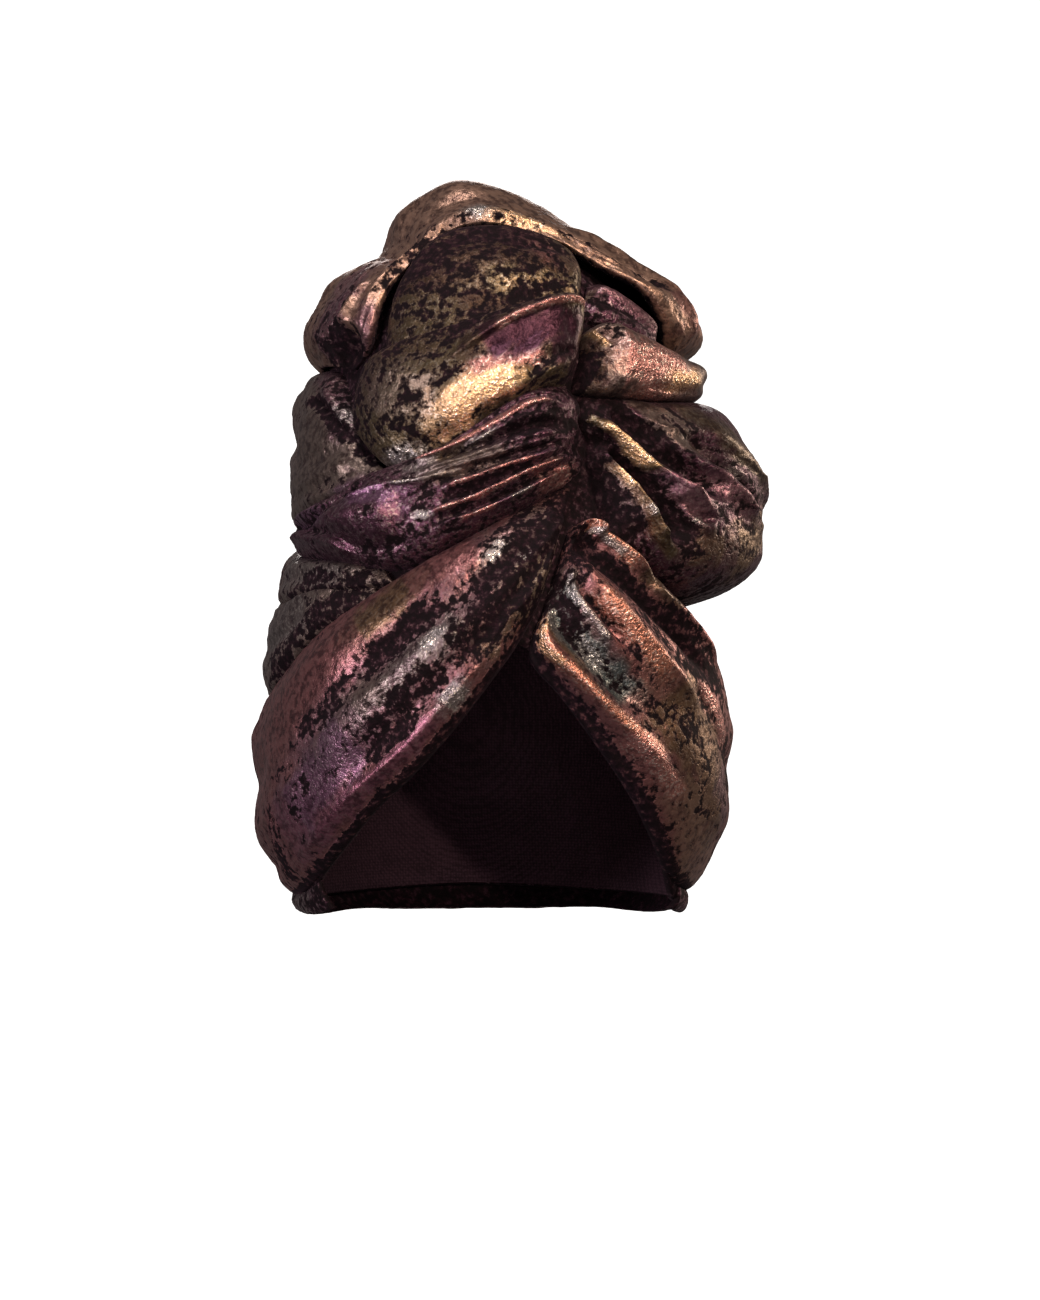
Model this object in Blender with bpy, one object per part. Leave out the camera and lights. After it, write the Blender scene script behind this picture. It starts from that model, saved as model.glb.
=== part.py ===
# Turban headwrap: an open shell of cloth over the head, with wound bands and folds laid round it.
# The front faces -Y and the wearer's right side is at -X. The origin is where the top of the head sits.
from collections import namedtuple

import bmesh
import bpy
import numpy as np

# Sizes in metres
HEAD_WIDTH = 0.152  # hollow for the head, across the temples
HEAD_LENGTH = 0.192  # hollow for the head, brow to back
HEAD_DEPTH = 0.137  # from the top of the head down to the hem beside the ears
CROWN_WIDTH = 0.124  # tall crown under its folds, side to side
CROWN_LENGTH = 0.146  # tall crown under its folds, front to back
CROWN_HEIGHT = 0.119  # tall crown under its folds, above the top of the head
CROWN_LEAN = 0.012  # how far the peak leans to the wearer's right
SHELL_WALL = 0.003  # the first turns of cloth, which make the shell
CAP_WALL = 0.002  # the layer that lies on the top of the head
FOLD_WALL = 0.0025  # the outer folds, two layers of cloth
WOUND_WALL = 0.012  # the side loop, many layers wound together
HEM_WALL = 0.001  # a fold's outer edge
FOLD_RISE = 0.020  # how far a full fold stands off the shell
LAY_GAP = 0.0008  # between a fold and the shell that it lies on
CAP_GAP = 0.0005  # between the cap's rim and the shell round it
CAP_LEVEL = -0.27  # the cap's rim, as a share of HEAD_DEPTH below the top of the head
CAP_DRAW = 1.2  # how quickly the cap draws in above its rim, 1 for a half round

# How finely the cloth is divided
SHELL_ROUND = 38
SHELL_UP = 18
CAP_ROUND = 28
CAP_UP = 5

# The shell's outline, bottom to top. A level is a share of HEAD_DEPTH below the top of the head, where
# it is negative, and of CROWN_HEIGHT above it. The rows below 0 take their widths as shares of the
# head's sizes, and the rows from 0 up as shares of the crown's.
ShellRow = namedtuple("ShellRow", "level side front back lean")
SHELL_OUTLINE = (
    ShellRow(-1.06, 0.85, 0.84, 0.76, 0.00),
    ShellRow(-0.90, 0.93, 0.93, 0.86, 0.00),
    ShellRow(-0.75, 0.98, 0.98, 0.95, 0.00),
    ShellRow(-0.60, 1.00, 1.00, 1.00, 0.00),
    ShellRow(-0.45, 0.99, 0.99, 1.00, 0.00),
    ShellRow(-0.30, 0.95, 0.96, 0.96, 0.00),
    ShellRow(-0.15, 0.88, 0.91, 0.88, 0.00),
    ShellRow(0.00, 1.03, 1.13, 1.08, 0.00),
    ShellRow(0.15, 0.99, 1.05, 1.03, 0.00),
    ShellRow(0.35, 1.00, 1.01, 1.01, 0.00),
    ShellRow(0.55, 0.95, 0.94, 0.95, 0.00),
    ShellRow(0.72, 0.82, 0.79, 0.83, 0.05),
    ShellRow(0.86, 0.60, 0.58, 0.62, 0.28),
    ShellRow(0.95, 0.37, 0.36, 0.38, 0.65),
    ShellRow(1.00, 0.00, 0.00, 0.00, 1.00),
)

# The hem of the shell: high over the forehead in a point, and down behind the ears to the nape.
HemRow = namedtuple("HemRow", "azimuth level")
SHELL_HEM = (
    HemRow(-180, -0.98),
    HemRow(-120, -0.99),
    HemRow(-80, -0.98),
    HemRow(-64, -0.91),
    HemRow(-49, -0.78),
    HemRow(-35, -0.67),
    HemRow(-25, -0.585),
    HemRow(-12, -0.43),
    HemRow(0, -0.30),
    HemRow(12, -0.42),
    HemRow(24, -0.575),
    HemRow(34, -0.68),
    HemRow(48, -0.85),
    HemRow(60, -0.96),
    HemRow(80, -0.98),
    HemRow(120, -0.99),
    HemRow(180, -0.98),
)

# A fold lies between a low edge and a high edge. Each row is one section across it: the azimuth in
# degrees, 0 at the front and positive towards +X, and the level of either edge, and how far the fold
# stands off the shell there, as a share of FOLD_RISE.
FoldRow = namedtuple("FoldRow", "low_azimuth low_level high_azimuth high_level rise")

Fold = namedtuple("Fold", "rows wall ridges groove droop round_steps cross_steps material")

NAPE_BAND = (
    FoldRow(-62, -0.975, -64, -0.935, 0.06),
    FoldRow(-80, -1.00, -80, -0.975, 0.10),
    FoldRow(-100, -1.01, -100, -0.965, 0.12),
    FoldRow(-140, -1.02, -140, -0.925, 0.15),
    FoldRow(180, -1.03, 180, -0.89, 0.15),
    FoldRow(140, -1.02, 140, -0.925, 0.15),
    FoldRow(100, -1.01, 100, -0.965, 0.12),
    FoldRow(78, -1.00, 78, -0.975, 0.10),
    FoldRow(62, -0.98, 62, -0.95, 0.06),
)
BROW_BAND_RIGHT = (
    FoldRow(11, -0.06, 19, 0.105, 0.20),
    FoldRow(6, -0.19, 13, 0.085, 0.40),
    FoldRow(0, -0.285, 5, 0.04, 0.46),
    FoldRow(-7, -0.375, -6, -0.01, 0.52),
    FoldRow(-16, -0.49, -17, -0.065, 0.55),
    FoldRow(-28, -0.62, -29, -0.125, 0.56),
    FoldRow(-38, -0.70, -42, -0.195, 0.56),
    FoldRow(-51, -0.81, -57, -0.28, 0.55),
    FoldRow(-66, -0.90, -73, -0.385, 0.52),
    FoldRow(-86, -0.955, -92, -0.45, 0.46),
    FoldRow(-115, -0.93, -118, -0.445, 0.42),
    FoldRow(-146, -0.89, -148, -0.405, 0.40),
    FoldRow(-179, -0.865, -179, -0.375, 0.36),
)
BROW_BAND_LEFT = (
    FoldRow(13.5, -0.08, 17, -0.02, 0.16),
    FoldRow(8, -0.20, 21, -0.01, 0.36),
    FoldRow(4, -0.315, 26, -0.03, 0.48),
    FoldRow(12.5, -0.42, 32, -0.07, 0.58),
    FoldRow(23.5, -0.56, 40, -0.13, 0.60),
    FoldRow(33.5, -0.68, 49, -0.185, 0.60),
    FoldRow(43, -0.79, 60, -0.25, 0.58),
    FoldRow(56, -0.90, 73, -0.335, 0.50),
    FoldRow(80, -0.945, 88, -0.405, 0.42),
    FoldRow(112, -0.925, 114, -0.425, 0.38),
    FoldRow(146, -0.89, 146, -0.405, 0.38),
    FoldRow(179, -0.865, 179, -0.375, 0.36),
)
SIDE_FOLD_LOW = (
    FoldRow(-41, -0.165, -43, -0.145, 0.10),
    FoldRow(-58, -0.26, -60, -0.175, 0.34),
    FoldRow(-74, -0.365, -76, -0.205, 0.40),
    FoldRow(-92, -0.43, -92, -0.21, 0.38),
    FoldRow(-118, -0.425, -118, -0.175, 0.40),
    FoldRow(-146, -0.385, -146, -0.115, 0.46),
    FoldRow(178, -0.355, 178, -0.065, 0.44),
    FoldRow(146, -0.385, 146, -0.115, 0.42),
    FoldRow(116, -0.405, 116, -0.22, 0.36),
    FoldRow(92, -0.39, 92, -0.265, 0.28),
    FoldRow(76, -0.335, 76, -0.275, 0.12),
)
SIDE_FOLD_MID = (
    FoldRow(-37, -0.135, -39, -0.115, 0.10),
    FoldRow(-52, -0.155, -54, -0.105, 0.36),
    FoldRow(-72, -0.18, -73, -0.095, 0.44),
    FoldRow(-92, -0.19, -92, -0.08, 0.42),
    FoldRow(-118, -0.155, -118, -0.02, 0.44),
    FoldRow(-146, -0.095, -146, 0.09, 0.50),
    FoldRow(178, -0.045, 178, 0.16, 0.46),
    FoldRow(155, -0.075, 155, 0.10, 0.34),
    FoldRow(143, -0.09, 143, 0.03, 0.14),
)
SIDE_FOLD_HIGH = (
    FoldRow(-43, 0.17, -46, 0.20, 0.10),
    FoldRow(-53, 0.135, -58, 0.335, 0.42),
    FoldRow(-70, 0.08, -70, 0.435, 0.58),
    FoldRow(-90, 0.065, -90, 0.455, 0.62),
    FoldRow(-116, 0.08, -116, 0.46, 0.66),
    FoldRow(-146, 0.12, -146, 0.48, 0.58),
    FoldRow(178, 0.19, 178, 0.50, 0.52),
    FoldRow(160, 0.22, 160, 0.51, 0.36),
    FoldRow(148, 0.25, 148, 0.51, 0.14),
)
FRONT_TWIST = (
    FoldRow(-122, -0.005, -122, 0.035, 0.10),
    FoldRow(-102, -0.035, -102, 0.035, 0.34),
    FoldRow(-82, -0.06, -82, 0.045, 0.46),
    FoldRow(-60, -0.075, -60, 0.10, 0.60),
    FoldRow(-42, -0.095, -42, 0.15, 0.80),
    FoldRow(-27, -0.075, -28, 0.195, 0.78),
    FoldRow(-15, -0.02, -16, 0.25, 0.74),
    FoldRow(-4, 0.03, -5, 0.325, 0.76),
    FoldRow(6, 0.08, 5, 0.39, 0.80),
    FoldRow(14, 0.125, 14, 0.40, 0.60),
    FoldRow(20, 0.155, 19, 0.37, 0.12),
)
DRAPE_LOW = (
    FoldRow(-59, 0.39, -57, 0.46, 0.10),
    FoldRow(-50, 0.295, -46, 0.49, 0.42),
    FoldRow(-39, 0.205, -35, 0.515, 0.60),
    FoldRow(-27, 0.215, -23, 0.535, 0.66),
    FoldRow(-14, 0.275, -10, 0.56, 0.72),
    FoldRow(-2, 0.355, 2, 0.585, 0.82),
    FoldRow(8, 0.415, 13, 0.61, 0.90),
    FoldRow(15, 0.425, 22, 0.62, 0.66),
    FoldRow(19, 0.43, 26, 0.60, 0.16),
)
DRAPE_HIGH = (
    FoldRow(-45, 0.515, -45, 0.555, 0.10),
    FoldRow(-36, 0.53, -42, 0.68, 0.34),
    FoldRow(-25, 0.55, -36, 0.785, 0.46),
    FoldRow(-12, 0.575, -24, 0.85, 0.52),
    FoldRow(1, 0.60, -3, 0.87, 0.52),
    FoldRow(12, 0.63, 17, 0.86, 0.50),
    FoldRow(22, 0.64, 32, 0.81, 0.42),
    FoldRow(26, 0.65, 37, 0.76, 0.12),
)
TOP_HOOD = (
    FoldRow(-62, 0.49, -100, 0.49, 0.20),
    FoldRow(-50, 0.57, -118, 0.50, 0.60),
    FoldRow(-48, 0.70, -134, 0.52, 0.42),
    FoldRow(-42, 0.80, -150, 0.53, 0.26),
    FoldRow(-28, 0.88, -166, 0.54, 0.26),
    FoldRow(-3, 0.895, 178, 0.55, 0.42),
    FoldRow(20, 0.885, 160, 0.55, 0.30),
    FoldRow(36, 0.835, 142, 0.54, 0.36),
    FoldRow(46, 0.76, 126, 0.53, 0.50),
    FoldRow(56, 0.66, 112, 0.52, 0.92),
    FoldRow(65, 0.56, 100, 0.51, 0.96),
    FoldRow(72, 0.51, 92, 0.50, 0.20),
)
INNER_FOLD = (
    FoldRow(29, 0.655, 36, 0.72, 0.10),
    FoldRow(33, 0.63, 41, 0.715, 0.30),
    FoldRow(41, 0.595, 48, 0.665, 0.42),
    FoldRow(51, 0.545, 56, 0.60, 0.50),
    FoldRow(58, 0.525, 61, 0.55, 0.14),
)
SIDE_ROLL = (
    FoldRow(21, 0.42, 26, 0.56, 0.14),
    FoldRow(30, 0.41, 33, 0.585, 0.66),
    FoldRow(38, 0.405, 41, 0.555, 0.86),
    FoldRow(48, 0.40, 51, 0.52, 0.98),
    FoldRow(64, 0.405, 66, 0.49, 1.00),
    FoldRow(88, 0.41, 88, 0.485, 0.80),
    FoldRow(116, 0.41, 116, 0.49, 0.56),
    FoldRow(140, 0.425, 140, 0.51, 0.14),
)
SIDE_LOOP = (
    FoldRow(22, 0.05, 22, 0.375, 0.14),
    FoldRow(28, -0.005, 30, 0.375, 0.40),
    FoldRow(36, -0.065, 39, 0.37, 0.80),
    FoldRow(44, -0.115, 48, 0.365, 1.24),
    FoldRow(54, -0.155, 59, 0.37, 1.66),
    FoldRow(68, -0.175, 73, 0.38, 1.96),
    FoldRow(88, -0.175, 90, 0.385, 1.96),
    FoldRow(112, -0.14, 112, 0.385, 1.50),
    FoldRow(132, -0.085, 132, 0.385, 0.80),
    FoldRow(142, -0.02, 142, 0.40, 0.20),
)

# Foil colours of the crushed velvet: red, green, blue, roughness, metallic
FoilColour = namedtuple("FoilColour", "red green blue roughness metallic")
FOIL = {
    "plum_velvet": FoilColour(0.060, 0.028, 0.045, 0.70, 0.10),
    "mauve_foil": FoilColour(0.190, 0.090, 0.130, 0.45, 0.55),
    "taupe_foil": FoilColour(0.165, 0.125, 0.115, 0.45, 0.55),
    "gold_foil": FoilColour(0.240, 0.180, 0.110, 0.40, 0.60),
    "rose_foil": FoilColour(0.330, 0.150, 0.120, 0.38, 0.60),
}

FOLDS = {
    "nape_band": Fold(NAPE_BAND, FOLD_WALL, 1, 0.0, 0.0, 24, 4, "plum_velvet"),
    "brow_band_right": Fold(BROW_BAND_RIGHT, FOLD_WALL, 2, 0.10, 0.0, 26, 10, "mauve_foil"),
    "brow_band_left": Fold(BROW_BAND_LEFT, FOLD_WALL, 4, 0.28, -0.20, 24, 16, "rose_foil"),
    "side_fold_low": Fold(SIDE_FOLD_LOW, FOLD_WALL, 1, 0.0, -0.20, 24, 6, "taupe_foil"),
    "side_fold_mid": Fold(SIDE_FOLD_MID, FOLD_WALL, 1, 0.0, 0.15, 20, 8, "taupe_foil"),
    "side_fold_high": Fold(SIDE_FOLD_HIGH, FOLD_WALL, 1, 0.0, 0.40, 22, 8, "taupe_foil"),
    "front_twist": Fold(FRONT_TWIST, FOLD_WALL, 4, 0.30, 0.0, 22, 16, "plum_velvet"),
    "drape_low": Fold(DRAPE_LOW, FOLD_WALL, 1, 0.0, -0.10, 16, 8, "gold_foil"),
    "drape_high": Fold(DRAPE_HIGH, FOLD_WALL, 1, 0.0, 0.0, 14, 6, "gold_foil"),
    "top_hood": Fold(TOP_HOOD, FOLD_WALL, 1, 0.0, 0.15, 22, 12, "taupe_foil"),
    "inner_fold": Fold(INNER_FOLD, FOLD_WALL, 1, 0.0, 0.0, 8, 4, "mauve_foil"),
    "side_roll": Fold(SIDE_ROLL, FOLD_WALL, 1, 0.0, 0.10, 14, 6, "rose_foil"),
    "side_loop": Fold(SIDE_LOOP, WOUND_WALL, 3, 0.09, 0.10, 18, 14, "plum_velvet"),
}


def smooth(knots, values, at):
    """Values at the given places, on a smooth curve through the knots."""
    knots, values = np.asarray(knots, float), np.asarray(values, float)
    at = np.clip(np.asarray(at, float), knots[0], knots[-1])
    slopes = np.gradient(values, knots, axis=0)
    k = np.clip(np.searchsorted(knots, at, side="right") - 1, 0, len(knots) - 2)
    step = knots[k + 1] - knots[k]
    u = (at - knots[k]) / step
    if values.ndim > 1:
        u, step = u[..., None], step[..., None]
    start, end = values[k], values[k + 1]
    rise_in, rise_out = slopes[k] * step, slopes[k + 1] * step
    return (
        start * (1 + 2 * u) * (1 - u) ** 2
        + rise_in * u * (1 - u) ** 2
        + end * u * u * (3 - 2 * u)
        + rise_out * u * u * (u - 1)
    )


def height_of(level):
    """The height over the top of the head of a level."""
    level = np.asarray(level, float)
    return np.where(level < 0, level * HEAD_DEPTH, level * CROWN_HEIGHT)


def outline_sizes():
    """Heights, squared half widths, fronts and backs, and the lean, at the shell's outline rows."""
    head = np.array([HEAD_WIDTH, HEAD_LENGTH, HEAD_LENGTH]) / 2 + SHELL_WALL
    crown = np.array([CROWN_WIDTH, CROWN_LENGTH, CROWN_LENGTH]) / 2
    heights, squares, leans = [], [], []
    for row in SHELL_OUTLINE:
        reach = head if row.level < 0 else crown
        heights.append(float(height_of(row.level)))
        squares.append((reach * (row.side, row.front, row.back)) ** 2)
        leans.append(-row.lean * CROWN_LEAN)
    return np.array(heights), np.array(squares), np.array(leans)


HEIGHTS, SQUARES, LEANS = outline_sizes()


def section_at(height):
    """Squared half width, front and back of the shell, and its lean, at the given heights."""
    squares = np.maximum(smooth(HEIGHTS, SQUARES, height), 1e-9)
    return squares, smooth(HEIGHTS, LEANS, height)


def shell_point(azimuth, level):
    """The point on the shell's outside at an azimuth in degrees and a level."""
    azimuth, height = np.radians(azimuth), height_of(level)
    squares, lean = section_at(height)
    x = lean + np.sqrt(squares[..., 0]) * np.sin(azimuth)
    forward = np.cos(azimuth)
    reach = np.where(forward > 0, squares[..., 1], squares[..., 2])
    return np.stack([x, -np.sqrt(reach) * forward, height], axis=-1)


def outside(points):
    """Below 0 inside the shell's outside, 0 on it and above 0 beyond it."""
    squares, lean = section_at(points[..., 2])
    reach = np.where(points[..., 1] < 0, squares[..., 1], squares[..., 2])
    spread = (points[..., 0] - lean) ** 2 / squares[..., 0] + points[..., 1] ** 2 / reach
    over = np.maximum(points[..., 2] - CROWN_HEIGHT, 0) / CROWN_HEIGHT
    return spread - 1 + over * 100


def onto_shell(points):
    """The points moved along lines from the middle of the wrap until they lie on the shell's outside."""
    middle = points * (0, 0, 0.5)
    middle[..., 0] = section_at(points[..., 2])[1]
    reach = points - middle
    low, high = np.full(points.shape[:-1], 0.2), np.full(points.shape[:-1], 2.5)
    for _ in range(40):
        half = (low + high) / 2
        beyond = outside(middle + reach * half[..., None]) > 0
        high, low = np.where(beyond, half, high), np.where(beyond, low, half)
    return middle + reach * low[..., None]


def facing(points):
    """The direction straight out of the shell at points on it."""
    step = 0.0005
    slope = [
        outside(points + np.eye(3)[axis] * step) - outside(points - np.eye(3)[axis] * step)
        for axis in range(3)
    ]
    slope = np.stack(slope, axis=-1)
    slope[..., 2] = np.where(points[..., 2] > 0.96 * CROWN_HEIGHT, np.abs(slope[..., 2]), slope[..., 2])
    return slope / np.linalg.norm(slope, axis=-1, keepdims=True)


def make_material(name):
    """A material with a foil's colour, roughness and metallic value."""
    material = bpy.data.materials.new(name)
    material.use_nodes = True
    surface = material.node_tree.nodes["Principled BSDF"]
    foil = FOIL[name]
    surface.inputs["Base Color"].default_value = (foil.red, foil.green, foil.blue, 1)
    surface.inputs["Roughness"].default_value = foil.roughness
    surface.inputs["Metallic"].default_value = foil.metallic
    material.diffuse_color = (foil.red, foil.green, foil.blue, 1)
    return material


def make_object(name, points, faces, material):
    """A mesh object of its own, its faces turned outwards, with smooth shading up to a crease."""
    mesh = bpy.data.meshes.new(name)
    mesh.from_pydata([tuple(p) for p in points], [], faces)
    turned = bmesh.new()
    turned.from_mesh(mesh)
    bmesh.ops.recalc_face_normals(turned, faces=turned.faces)
    turned.to_mesh(mesh)
    turned.free()
    mesh.materials.append(bpy.data.materials.get(material) or make_material(material))
    mesh.shade_smooth()
    mesh.set_sharp_from_angle(angle=np.radians(50))
    made = bpy.data.objects.new(name, mesh)
    bpy.context.scene.collection.objects.link(made)
    return made


def cup_faces(round_steps, up_steps):
    """Faces of an upside-down cup with a wall: outer rings, its pole, inner rings, its pole."""
    side = round_steps * up_steps + 1
    faces = []
    for k in range(up_steps - 1):
        for i in range(round_steps):
            here, beside = k * round_steps + i, k * round_steps + (i + 1) % round_steps
            quad = (here, beside, beside + round_steps, here + round_steps)
            faces.append(quad)
            faces.append(tuple(side + v for v in reversed(quad)))
    last = (up_steps - 1) * round_steps
    for i in range(round_steps):
        here, beside = last + i, last + (i + 1) % round_steps
        faces.append((here, beside, side - 1))
        faces.append((side + beside, side + here, 2 * side - 1))
        rim, next_rim = i, (i + 1) % round_steps
        faces.append((side + rim, side + next_rim, next_rim, rim))
    return faces


def make_shell():
    """The first turns of cloth: a tall open cup from the hem to the top of the crown."""
    azimuths = np.arange(SHELL_ROUND) * 360 / SHELL_ROUND - 180
    hem = smooth([r.azimuth for r in SHELL_HEM], [r.level for r in SHELL_HEM], azimuths)
    outer = []
    for k in range(SHELL_UP):
        share = np.sin(k / SHELL_UP * np.pi / 2) ** 0.9
        height = height_of(hem) + (CROWN_HEIGHT - height_of(hem)) * share
        level = np.where(height < 0, height / HEAD_DEPTH, height / CROWN_HEIGHT)
        outer.append(shell_point(azimuths, level))
    outer = np.array(outer)
    inner = outer - facing(outer) * SHELL_WALL
    top = np.array([[-CROWN_LEAN, 0, CROWN_HEIGHT]])
    under_top = top - (0, 0, SHELL_WALL)
    points = np.concatenate([outer.reshape(-1, 3), top, inner.reshape(-1, 3), under_top])
    make_object("under_wrap", points, cup_faces(SHELL_ROUND, SHELL_UP), "plum_velvet")


def make_cap():
    """The layer of cloth that lies on the top of the head, its rim held inside the shell."""
    azimuths = np.arange(CAP_ROUND) * 360 / CAP_ROUND - 180
    rim = shell_point(azimuths, np.full(CAP_ROUND, CAP_LEVEL))
    rim = rim - facing(rim) * (SHELL_WALL + CAP_GAP)
    depth = -CAP_LEVEL * HEAD_DEPTH + CAP_WALL
    chord = np.cos(np.pi / CAP_ROUND)  # keeps the shell's flat facets off the cap's corners
    outer, inner = [], []
    for k in range(CAP_UP):
        tilt = k / CAP_UP * np.pi / 2
        for rings, wall in ((outer, 0), (inner, CAP_WALL)):
            spread = (1 - wall / np.linalg.norm(rim[:, :2], axis=1)) * np.cos(tilt) ** CAP_DRAW * chord
            ring = rim * spread[:, None]
            ring[:, 2] = CAP_WALL - depth + (depth - wall) * np.sin(tilt)
            rings.append(ring)
    top = [[0, 0, CAP_WALL]]
    under_top = [[0, 0, 0]]
    points = np.concatenate([np.concatenate(outer), top, np.concatenate(inner), under_top])
    make_object("inner_cap", points, cup_faces(CAP_ROUND, CAP_UP), "plum_velvet")


def edges_of(rows, along):
    """The low and high edges of a fold and its rise, at even shares of its length."""
    knots = np.linspace(0, 1, len(rows))
    low = shell_point(np.array([r.low_azimuth for r in rows]), np.array([r.low_level for r in rows]))
    high = shell_point(np.array([r.high_azimuth for r in rows]), np.array([r.high_level for r in rows]))
    rise = smooth(knots, [r.rise for r in rows], along) * FOLD_RISE
    return smooth(knots, low, along), smooth(knots, high, along), rise


def lift_of(fold, rise, turn):
    """How far a fold's outside stands off the shell: a half round with ridges along it."""
    across = (1 - np.cos(turn)) / 2
    ridge = 1 - fold.groove * (0.5 + 0.5 * np.cos(2 * np.pi * fold.ridges * across))
    arch = np.sin(turn) ** 0.9 * (ridge if fold.ridges > 1 else 1)
    return LAY_GAP + HEM_WALL + rise[:, None] * arch[None, :]


def fold_surface(fold, along, turn, inset):
    """Places on the shell under a fold, and the direction out of it. Inset narrows it at both edges."""
    low, high, rise = edges_of(fold.rows, along)
    across = (1 - np.cos(turn)) / 2 - fold.droop * np.sin(turn) ** 2 * 0.5
    width = np.linalg.norm(high - low, axis=1)
    margin = np.minimum(inset / width, 0.3)[:, None]
    across = margin + (1 - 2 * margin) * across[None, :]
    chord = low[:, None] * (1 - across[..., None]) + high[:, None] * across[..., None]
    seat = onto_shell(chord)
    return seat, facing(seat), rise


def make_fold(name, fold):
    """One fold of cloth: an arched wall that stands on the shell along both of its edges."""
    along = np.linspace(0, 1, fold.round_steps + 1)
    end_inset = 0.4 / fold.round_steps
    turn = np.linspace(0, np.pi, fold.cross_steps + 1)
    seat, out, rise = fold_surface(fold, along, turn, 0.0)
    outer = seat + out * lift_of(fold, rise, turn)[..., None]
    in_along = end_inset + (1 - 2 * end_inset) * along
    in_turn = turn[::2]
    seat, out, rise = fold_surface(fold, in_along, in_turn, fold.wall)
    in_lift = np.maximum(lift_of(fold, rise, in_turn) - HEM_WALL - fold.wall, LAY_GAP)
    in_lift[:, (0, -1)] = LAY_GAP
    inner = seat + out * in_lift[..., None]
    points = np.concatenate([outer.reshape(-1, 3), inner.reshape(-1, 3)])
    make_object(name, points, fold_faces(fold.round_steps, fold.cross_steps), fold.material)


def fold_faces(round_steps, cross_steps):
    """Faces of a fold: a fine outside grid, an inside grid half as fine across, and the rim between."""
    wide, narrow = cross_steps + 1, cross_steps // 2 + 1
    start = (round_steps + 1) * wide
    faces = []
    for i in range(round_steps):
        for j in range(cross_steps):
            a, b = i * wide + j, (i + 1) * wide + j
            faces.append((a, b, b + 1, a + 1))
        for j in range(narrow - 1):
            a, b = start + i * narrow + j, start + (i + 1) * narrow + j
            faces.append((a + 1, b + 1, b, a))
        a, b = i * wide, start + i * narrow
        faces.append((b, b + narrow, a + wide, a))
        a, b = i * wide + cross_steps, start + i * narrow + narrow - 1
        faces.append((a, a + wide, b + narrow, b))
    for j in range(narrow - 1):
        a, b = 2 * j, start + j
        faces.append((a, a + 1, a + 2, b + 1, b))
        a, b = round_steps * wide + 2 * j, start + round_steps * narrow + j
        faces.append((b, b + 1, a + 2, a + 1, a))
    return faces


def main():
    for old in list(bpy.data.objects):
        bpy.data.objects.remove(old)
    make_shell()
    make_cap()
    for name, fold in FOLDS.items():
        make_fold(name, fold)


main()
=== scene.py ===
# Turban headwrap of crushed foil velvet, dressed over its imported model.
# The front faces -Y, the wearer's right side is at -X, and all lengths are in metres unless noted.
import math
from collections import namedtuple

import bpy
import numpy as np
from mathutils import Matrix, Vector


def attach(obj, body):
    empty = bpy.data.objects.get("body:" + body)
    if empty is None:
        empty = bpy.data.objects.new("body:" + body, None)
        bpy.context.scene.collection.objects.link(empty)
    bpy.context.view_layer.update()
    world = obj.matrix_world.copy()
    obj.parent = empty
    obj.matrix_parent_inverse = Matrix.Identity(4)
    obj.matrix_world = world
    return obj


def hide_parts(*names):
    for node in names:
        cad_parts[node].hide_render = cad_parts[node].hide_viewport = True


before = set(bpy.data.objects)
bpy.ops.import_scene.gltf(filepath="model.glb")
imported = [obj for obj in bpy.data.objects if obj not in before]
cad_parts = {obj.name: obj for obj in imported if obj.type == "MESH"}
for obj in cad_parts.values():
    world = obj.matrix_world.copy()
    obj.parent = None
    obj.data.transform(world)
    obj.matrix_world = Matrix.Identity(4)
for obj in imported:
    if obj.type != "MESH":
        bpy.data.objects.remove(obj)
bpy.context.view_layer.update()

# The head and the crown that the cloth is wound on, as in the part's source
headForm = {
    "headWidth": 0.152,
    "headLength": 0.192,
    "headDepth": 0.137,
    "crownWidth": 0.124,
    "crownLength": 0.146,
    "crownHeight": 0.119,
    "crownLean": 0.012,
    "shellWall": 0.003,
    "foldRise": 0.020,
}

ShellRow = namedtuple("ShellRow", "level side front back lean")
shellOutline = (
    ShellRow(-1.06, 0.85, 0.84, 0.76, 0.00),
    ShellRow(-0.90, 0.93, 0.93, 0.86, 0.00),
    ShellRow(-0.75, 0.98, 0.98, 0.95, 0.00),
    ShellRow(-0.60, 1.00, 1.00, 1.00, 0.00),
    ShellRow(-0.45, 0.99, 0.99, 1.00, 0.00),
    ShellRow(-0.30, 0.95, 0.96, 0.96, 0.00),
    ShellRow(-0.15, 0.88, 0.91, 0.88, 0.00),
    ShellRow(0.00, 1.03, 1.13, 1.08, 0.00),
    ShellRow(0.15, 0.99, 1.05, 1.03, 0.00),
    ShellRow(0.35, 1.00, 1.01, 1.01, 0.00),
    ShellRow(0.55, 0.95, 0.94, 0.95, 0.00),
    ShellRow(0.72, 0.82, 0.79, 0.83, 0.05),
    ShellRow(0.86, 0.60, 0.58, 0.62, 0.28),
    ShellRow(0.95, 0.37, 0.36, 0.38, 0.65),
    ShellRow(1.00, 0.00, 0.00, 0.00, 1.00),
)

HemRow = namedtuple("HemRow", "azimuth level")
shellHem = (
    HemRow(-180, -0.98),
    HemRow(-120, -0.99),
    HemRow(-80, -0.98),
    HemRow(-64, -0.91),
    HemRow(-49, -0.78),
    HemRow(-35, -0.67),
    HemRow(-25, -0.585),
    HemRow(-12, -0.43),
    HemRow(0, -0.30),
    HemRow(12, -0.42),
    HemRow(24, -0.575),
    HemRow(34, -0.68),
    HemRow(48, -0.85),
    HemRow(60, -0.96),
    HemRow(80, -0.98),
    HemRow(120, -0.99),
    HemRow(180, -0.98),
)

# One section across a fold: azimuth and level of its low and high edge, and how far it stands off
FoldRow = namedtuple("FoldRow", "lowAzimuth lowLevel highAzimuth highLevel rise")

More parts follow.
